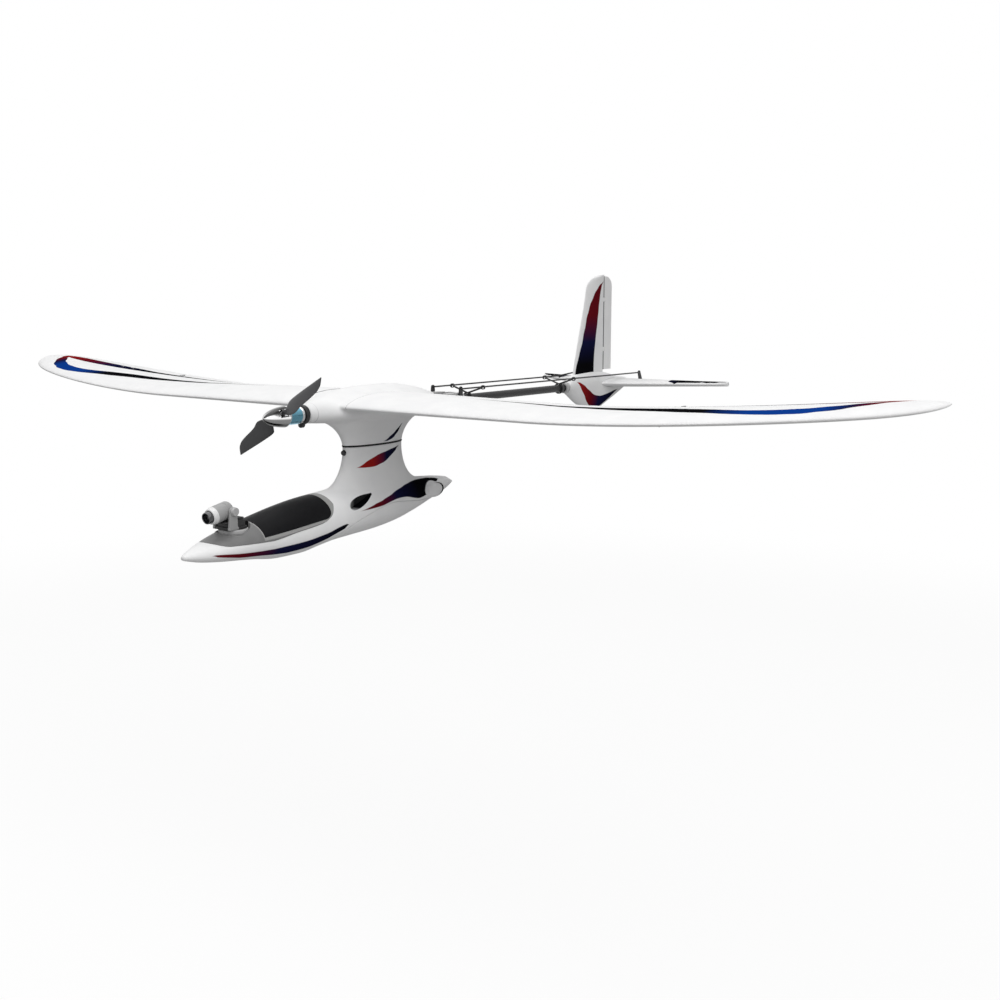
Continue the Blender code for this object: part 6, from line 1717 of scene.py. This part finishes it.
bell_profile = [
    (0.0013, BELL_LENGTH), (0.0052, BELL_LENGTH), (0.0060, 0.0182), (0.0064, 0.0176), (0.0066, 0.0164),
    (0.0069, 0.0162), (0.0074, 0.0118), (0.0074, 0.0030), (0.0072, 0.0028), (0.0072, 0.0022),
    (0.0074, 0.0020), (0.0074, 0.0004), (0.0071, 0.0), (0.0062, 0.0), (0.0062, 0.0102), (0.0052, 0.0173),
    (0.0013, 0.0173),
]
bell_profile.append(bell_profile[0])
bell = turned("bell", bell_profile, (0, BELL_REAR_Y, AXIS_Z), FORWARD, 96)
hand_over(bell, "propeller", bell_blue, "blue_anodised", "motor_bell")

# %% [markdown]
# The spinner is a thin polished shell. Its radius follows a root curve, which is round at the tip and almost
# straight near the rim. It is slit on both sides for the blade roots.

# %% Spinner
HUB_REAR_Y = -0.2506
BLADE_Y = -0.2566
BLADE_PIVOT = 0.0074
BLADE_TANG = 0.0030
BLADE_TANG_DEPTH = 0.0036
FORK_HALF = 0.0032
PROP_ANGLE = 29.0
SPINNER_RADIUS = 0.0090
SPINNER_LENGTH = 0.0230
SPINNER_WALL = 0.0012
SLOT_LENGTH = 0.0120
SLOT_OUT = 0.0017


def spinner_radius(share):
    return SPINNER_RADIUS * math.sqrt(share) * (1.3 - 0.3 * share)


outer_shares = [k**2 / 900 for k in range(31)]
inner_shares = [0.25 + 0.75 * k / 20 for k in range(21)]
spinner_profile = [(spinner_radius(s), SPINNER_LENGTH * (1 - s)) for s in outer_shares]
inner_profile = [(spinner_radius(s) - SPINNER_WALL, SPINNER_LENGTH * (1 - s)) for s in inner_shares]
spinner_profile += inner_profile[::-1] + [(0, inner_profile[0][1])]
spinner = turned("spinner_cone", spinner_profile, (0, HUB_REAR_Y, AXIS_Z), FORWARD, 96)
hub_centre = Vector((0, BLADE_Y, AXIS_Z))


def blade_axes(turn):
    angle = math.radians(turn)
    radial = Vector((math.cos(angle), 0, math.sin(angle)))
    return radial, FORWARD.cross(radial), FORWARD


for turn in (PROP_ANGLE, PROP_ANGLE + 180):
    axes = blade_axes(turn)
    slot_size = (2 * SPINNER_RADIUS, 2 * (FORK_HALF + RUNNING), SLOT_LENGTH + BLADE_TANG_DEPTH)
    middle = hub_centre + axes[0] * (SPINNER_RADIUS + SLOT_OUT) - FORWARD * BLADE_TANG_DEPTH
    carve(spinner, leaning_block("slot", middle, axes, slot_size))
hand_over(spinner, "propeller", spinner_chrome, "aluminium", "spinner")

# %% [markdown]
# A blade is a thin twisted aerofoil with one straight edge, and the other edge curves over to meet it in a
# point. It is skinned over ribs that run out from its pin: each lies between the two edges and is turned by
# the twist at its place. A square tang with a bore carries the blade on the hub's pin.

# %% Blades
PROP_RADIUS = 0.0573
BLADE_CHORD = 0.0142
BLADE_STRAIGHT = ((0, 0.26), (0.09, 0.61), (0.20, 0.655), (1, 0.613))
BLADE_CURVED = (
    (0, -0.22), (0.10, -0.42), (0.22, -0.48), (0.40, -0.29), (0.80, -0.07), (0.93, 0.15), (1, 0.52),
)
BLADE_TWIST = ((0, 30.0), (0.3, 24.0), (1, 13.0))
BLADE_THICKNESS = 0.0011
BLADE_SECTION = (
    (0, 0), (0.04, 0.30), (0.12, 0.44), (0.25, 0.58), (0.42, 0.76), (0.6, 0.85), (0.78, 0.78), (0.9, 0.58),
    (0.97, 0.30), (1, 0), (0.97, -0.18), (0.9, -0.28), (0.75, -0.22), (0.6, -0.15), (0.4, -0.12),
    (0.2, -0.10), (0.06, -0.08),
)


def blade_skin(name, turn):
    radial, tangent, forward = blade_axes(turn)
    pivot = hub_centre + radial * BLADE_PIVOT
    start = math.hypot(BLADE_TANG_DEPTH / 2, BLADE_TANG_DEPTH / 2) + RUNNING
    ribs = []
    for share in [1 - (1 - s) ** 1.5 for s in even(40)]:
        low, high = (BLADE_CHORD * batten(edge, share) for edge in (BLADE_CURVED, BLADE_STRAIGHT))
        twist = math.radians(batten(BLADE_TWIST, share))
        across = tangent * math.cos(twist) - forward * math.sin(twist)
        through = forward * math.cos(twist) + tangent * math.sin(twist)
        half = BLADE_THICKNESS * (1.0 - 0.5 * share)
        spot = pivot + radial * (start + (PROP_RADIUS - BLADE_PIVOT - start) * share)
        section = [(low + (high - low) * a, half * b) for a, b in BLADE_SECTION]
        ribs.append([spot + across * wide + through * deep for wide, deep in section])
    made = skin(name, ribs)
    tang = start + BLADE_CHORD * 0.2 + BLADE_TANG_DEPTH / 2
    middle = pivot + radial * (tang / 2 - BLADE_TANG_DEPTH / 2)
    root = leaning_block("tang", middle, blade_axes(turn), (tang, BLADE_TANG, BLADE_TANG_DEPTH * 0.8), 0.0003)
    carve(made, root, "UNION")
    carve(made, bar("pin_bore", pivot - tangent * BLADE_TANG, pivot + tangent * BLADE_TANG, 0.0010, sides=24))
    return made


for turn, word in ((PROP_ANGLE, "upper"), (PROP_ANGLE + 180, "lower")):
    blade = blade_skin("blade_" + word + "_nylon", turn)
    hand_over(blade, word + "_blade", blade_grey, "blade_grey", "blade_" + word)

# %% [markdown]
# ## Rod guides
# Two clips on the boom hold the long rods on thin V-shaped legs, each with a slim eye. They could be bent
# from wire; here the clip, the legs and the eyes are joined into one piece and then bored.

# %% Rod guides
ROD_RADIUS = 0.0008
EYE_DROP = 0.00045
EYE_BORE = ROD_RADIUS + EYE_DROP + CLEAR
EYE_WALL = 0.0006
EYE_HALF = Vector((0, 0.0011, 0))
CLIP_HALF = Vector((0, 0.0013, 0))
LEG_RADIUS = 0.0009
for word in ("front", "rear"):
    low, high = (Vector(corner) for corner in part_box("rod_guide_" + word))
    middle = Vector((0, (low.y + high.y) / 2, AXIS_Z))
    clip_radius = AXIS_Z - low.z
    guide = bar("guide_" + word, middle - CLIP_HALF, middle + CLIP_HALF, clip_radius, 0.0003)
    foot = middle + Vector((0, 0, (BOOM_RADIUS + clip_radius) / 2))
    eyes = [Vector((side * ROD_X, middle.y, ROD_Z - EYE_DROP)) for side in (-1, 1)]
    for eye in eyes:
        reach = eye + (foot - eye).normalized() * (EYE_BORE + EYE_WALL / 2)
        carve(guide, bar("leg", foot, reach, LEG_RADIUS), "UNION", "MANIFOLD")
        carve(guide, bar("eye", eye - EYE_HALF, eye + EYE_HALF, EYE_BORE + EYE_WALL), "UNION", "MANIFOLD")
    for eye in eyes:
        carve(guide, bar("eye_bore", eye - 2 * EYE_HALF, eye + 2 * EYE_HALF, EYE_BORE), solver="MANIFOLD")
    boom_bore = bar("boom_bore", middle - 2 * CLIP_HALF, middle + 2 * CLIP_HALF, BOOM_RADIUS + CLEAR)
    carve(guide, boom_bore, solver="MANIFOLD")
    hand_over(guide, "airframe", black_plastic, "black_plastic", "rod_guide_" + word)

# %% [markdown]
# ## The nose camera
# The camera is a small barrel between two ears, on a turntable that pans. The turntable is lathe work again.

# %% Turntable
TURNTABLE_Z = 0.0253

rim = [(0, 0), (0.0117, 0), (0.0121, 0.0004), (0.0121, 0.0036), (0.0119, 0.0042), (0.0114, 0.0046)]
rim += [(0.0102, 0.0046), (0.0100, 0.0043), (0, 0.0043)]
turntable = turned("turntable", rim, (0, CAMERA_Y, TURNTABLE_Z), (0, 0, 1), 96)
hand_over(turntable, "camera_pan", light_grey, "light_plastic", "camera_turntable")

# %% [markdown]
# The yoke is a base plate with a winged post behind, a saddle below the camera and two ears that hold the
# tilt screw. An ear's outline is drawn tight round its foot and its round top, and its edges are eased.

# %% Yoke
TILT = Vector((0, -0.3165, 0.0452))
EAR_IN = 0.0076
EAR_OUT = 0.0098
YOKE_FOOT = 0.0302
YOKE_PLATE = 0.0324
YOKE_BACK = CAMERA_Y + 0.006
POST_WINGS = ((-0.0086, -0.0058), (0.0058, 0.0086))
EAR_HALF = 0.0045
EAR_RADIUS = 0.0036
TILT_BORE = 0.0017


def tight_outline(points):
    """Outline of the points, as a string drawn tight round them."""
    ordered = sorted(set(points))

    def turn(a, b, c):
        return (b[0] - a[0]) * (c[1] - a[1]) - (b[1] - a[1]) * (c[0] - a[0])

    def half(run):
        line = []
        for point in run:
            while len(line) > 1 and turn(line[-2], line[-1], point) <= 0:
                line.pop()
            line.append(point)
        return line[:-1]

    return half(ordered) + half(ordered[::-1])


def ring_points(centre, radius, steps=32):
    turns = [math.tau * k / steps for k in range(steps)]
    return [(centre[0] + radius * math.cos(a), centre[1] + radius * math.sin(a)) for a in turns]


def stand(name, x, y, top, edge):
    """Join a block that stands on the turntable to the yoke."""
    carve(yoke, block(name, (x[0], y[0], YOKE_FOOT), (x[1], y[1], top), edge), "UNION")


yoke = block("yoke", (-EAR_OUT, TILT.y - EAR_HALF, YOKE_FOOT), (EAR_OUT, YOKE_BACK, YOKE_PLATE), 0.0004)
stand("post", (-0.0060, 0.0060), (CAMERA_Y - 0.002, YOKE_BACK), YOKE_PLATE + 0.0065, 0.0005)
for width in POST_WINGS:
    stand("post_wing", width, (CAMERA_Y - 0.0045, CAMERA_Y + 0.005), 0.0372, 0.0003)
stand("saddle", (-0.0070, 0.0070), (TILT.y - 0.0030, CAMERA_Y), 0.0347, 0.0003)
ear_foot = [(TILT.y - EAR_HALF, YOKE_FOOT), (TILT.y + EAR_HALF, YOKE_FOOT)]
ear_outline = tight_outline(ear_foot + ring_points((TILT.y, TILT.z), EAR_RADIUS))
for side in (-1, 1):
    ear = plate("ear", ear_outline, "X", *sorted((side * EAR_IN, side * EAR_OUT)))
    modify(ear, "BEVEL", width=0.0003, segments=2, limit_method="ANGLE", angle_limit=0.9)
    carve(yoke, ear, "UNION")
    hole_ends = [(side * x, TILT.y, TILT.z) for x in (EAR_IN * 0.9, EAR_OUT * 1.1)]
    carve(yoke, bar("hole", *hole_ends, TILT_BORE))


def grey_ears(made):
    """1 on the two ears, 0 on the base plate and the tilt drive."""
    return ((abs(made.x) - EAR_IN + 0.0002) * 4000).clamp() * ((made.y * -1 + TILT.y + 0.0052) * 4000).clamp()


yoke_finish = plastic("yoke_black", (0.014, 0.014, 0.015), 0.42, parts=[(grey_ears, (0.36, 0.36, 0.36))])
hand_over(yoke, "camera_pan", yoke_finish, "black_plastic", "camera_yoke")

# %% [markdown]
# The barrel has a stepped front, a groove and a domed back, and a white ring frames the lens. The lens lies
# in a bore as a small glass dome inside its own rim.

# %% Barrel and lens
CAMERA_TILT = math.radians(11.0)
AIM = Vector((0, -math.cos(CAMERA_TILT), -math.sin(CAMERA_TILT)))
BARREL_RADIUS = 0.0071
LENS_SEAT = 0.0135
LENS_BORE = 0.0051
BEZEL_FROM = 0.0128

barrel_profile = [(0, 0.0170), (0.0056, 0.0170), (0.0060, 0.0169), (0.0064, 0.0163), (0.0066, 0.0150)]
barrel_profile += [(BARREL_RADIUS, 0.0136), (BARREL_RADIUS, 0.0030), (0.0069, 0.0028), (0.0069, 0.0022)]
barrel_profile.append((BARREL_RADIUS, 0.0020))
quarter = [math.pi / 2 * k / 14 for k in range(14)]
barrel_profile += [(BARREL_RADIUS * math.cos(a), -0.0010 - 0.0045 * math.sin(a)) for a in quarter]
barrel_profile.append((0, -0.0055))
barrel = turned("camera_barrel", barrel_profile, TILT, AIM, 96)
lens_seat = TILT + AIM * LENS_SEAT
carve(barrel, bar("lens_bore", lens_seat, lens_seat + AIM * 0.007, LENS_BORE))
carve(barrel, bar("screw_bore", TILT - Vector((0.02, 0, 0)), TILT + Vector((0.02, 0, 0)), TILT_BORE))


def white_bezel(made):
    """1 on the barrel's front ring."""
    ahead = made.y * AIM.y + made.z * AIM.z - TILT.dot(AIM)
    return ((ahead - BEZEL_FROM) * 3000).clamp()


camera_grey = plastic("camera_grey", (0.37, 0.37, 0.37), 0.38, parts=[(white_bezel, (0.80, 0.80, 0.80))])
hand_over(barrel, "camera_tilt", camera_grey, "white_plastic", "camera_body")

quarter = [math.pi / 2 * k / 12 for k in range(13)]
lens_profile = [(0.0034 * math.sin(a), 0.0030 + 0.0014 * math.cos(a)) for a in quarter]
lens_profile += [(0.0036, 0.0046), (0.0039, 0.0066), (0.0041, 0.0070), (0.0046, 0.0070), (0.0048, 0.0067)]
lens_profile += [(0.0048, 0.0), (0, 0.0)]
lens = turned("lens", lens_profile, lens_seat + AIM * CLEAR, AIM, 96)
hand_over(lens, "camera_tilt", lens_glass, "black_plastic", "camera_lens")

# %% [markdown]
# ## Pieces that keep their solid shape
# Small or hidden pieces are already right as solids: rods, arms, horns, collars, servos and everything
# under the canopy. They only get a finish.

# %% Finish the rest
FINISHES = {
    "black_plastic": black_plastic, "black_rubber": rubber, "carbon": carbon_tube, "aluminium": aluminium,
    "steel": steel, "windings": copper, "light_plastic": light_grey, "dark_tray": tray_grey,
    "battery_wrap": wrap, "circuit_board": board, "white_foam": plain_foam, "blade_grey": blade_grey,
    "grey_plastic": frame_grey, "black_canopy": canopy_black, "white_plastic": camera_grey,
    "blue_anodised": bell_blue,
}
BLACK_PIECES = (
    "elevator_rod", "rudder_rod", "pylon_screw", "elevator_arm", "rudder_arm",
    "aileron_arm_left", "aileron_arm_right",
)
GREY_PIECES = ("tilt_screw", "elevator_servo", "rudder_servo")
OWN_FINISH = dict.fromkeys(BLACK_PIECES, black_plastic) | dict.fromkeys(GREY_PIECES, light_grey)
for name, solid in nodes.items():
    for slot in solid.material_slots:
        kind = slot.material.name.split(".")[0] if slot.material else ""
        slot.material = OWN_FINISH.get(name) or FINISHES.get(kind, black_plastic)
print("finishes on", len(nodes), "solids")
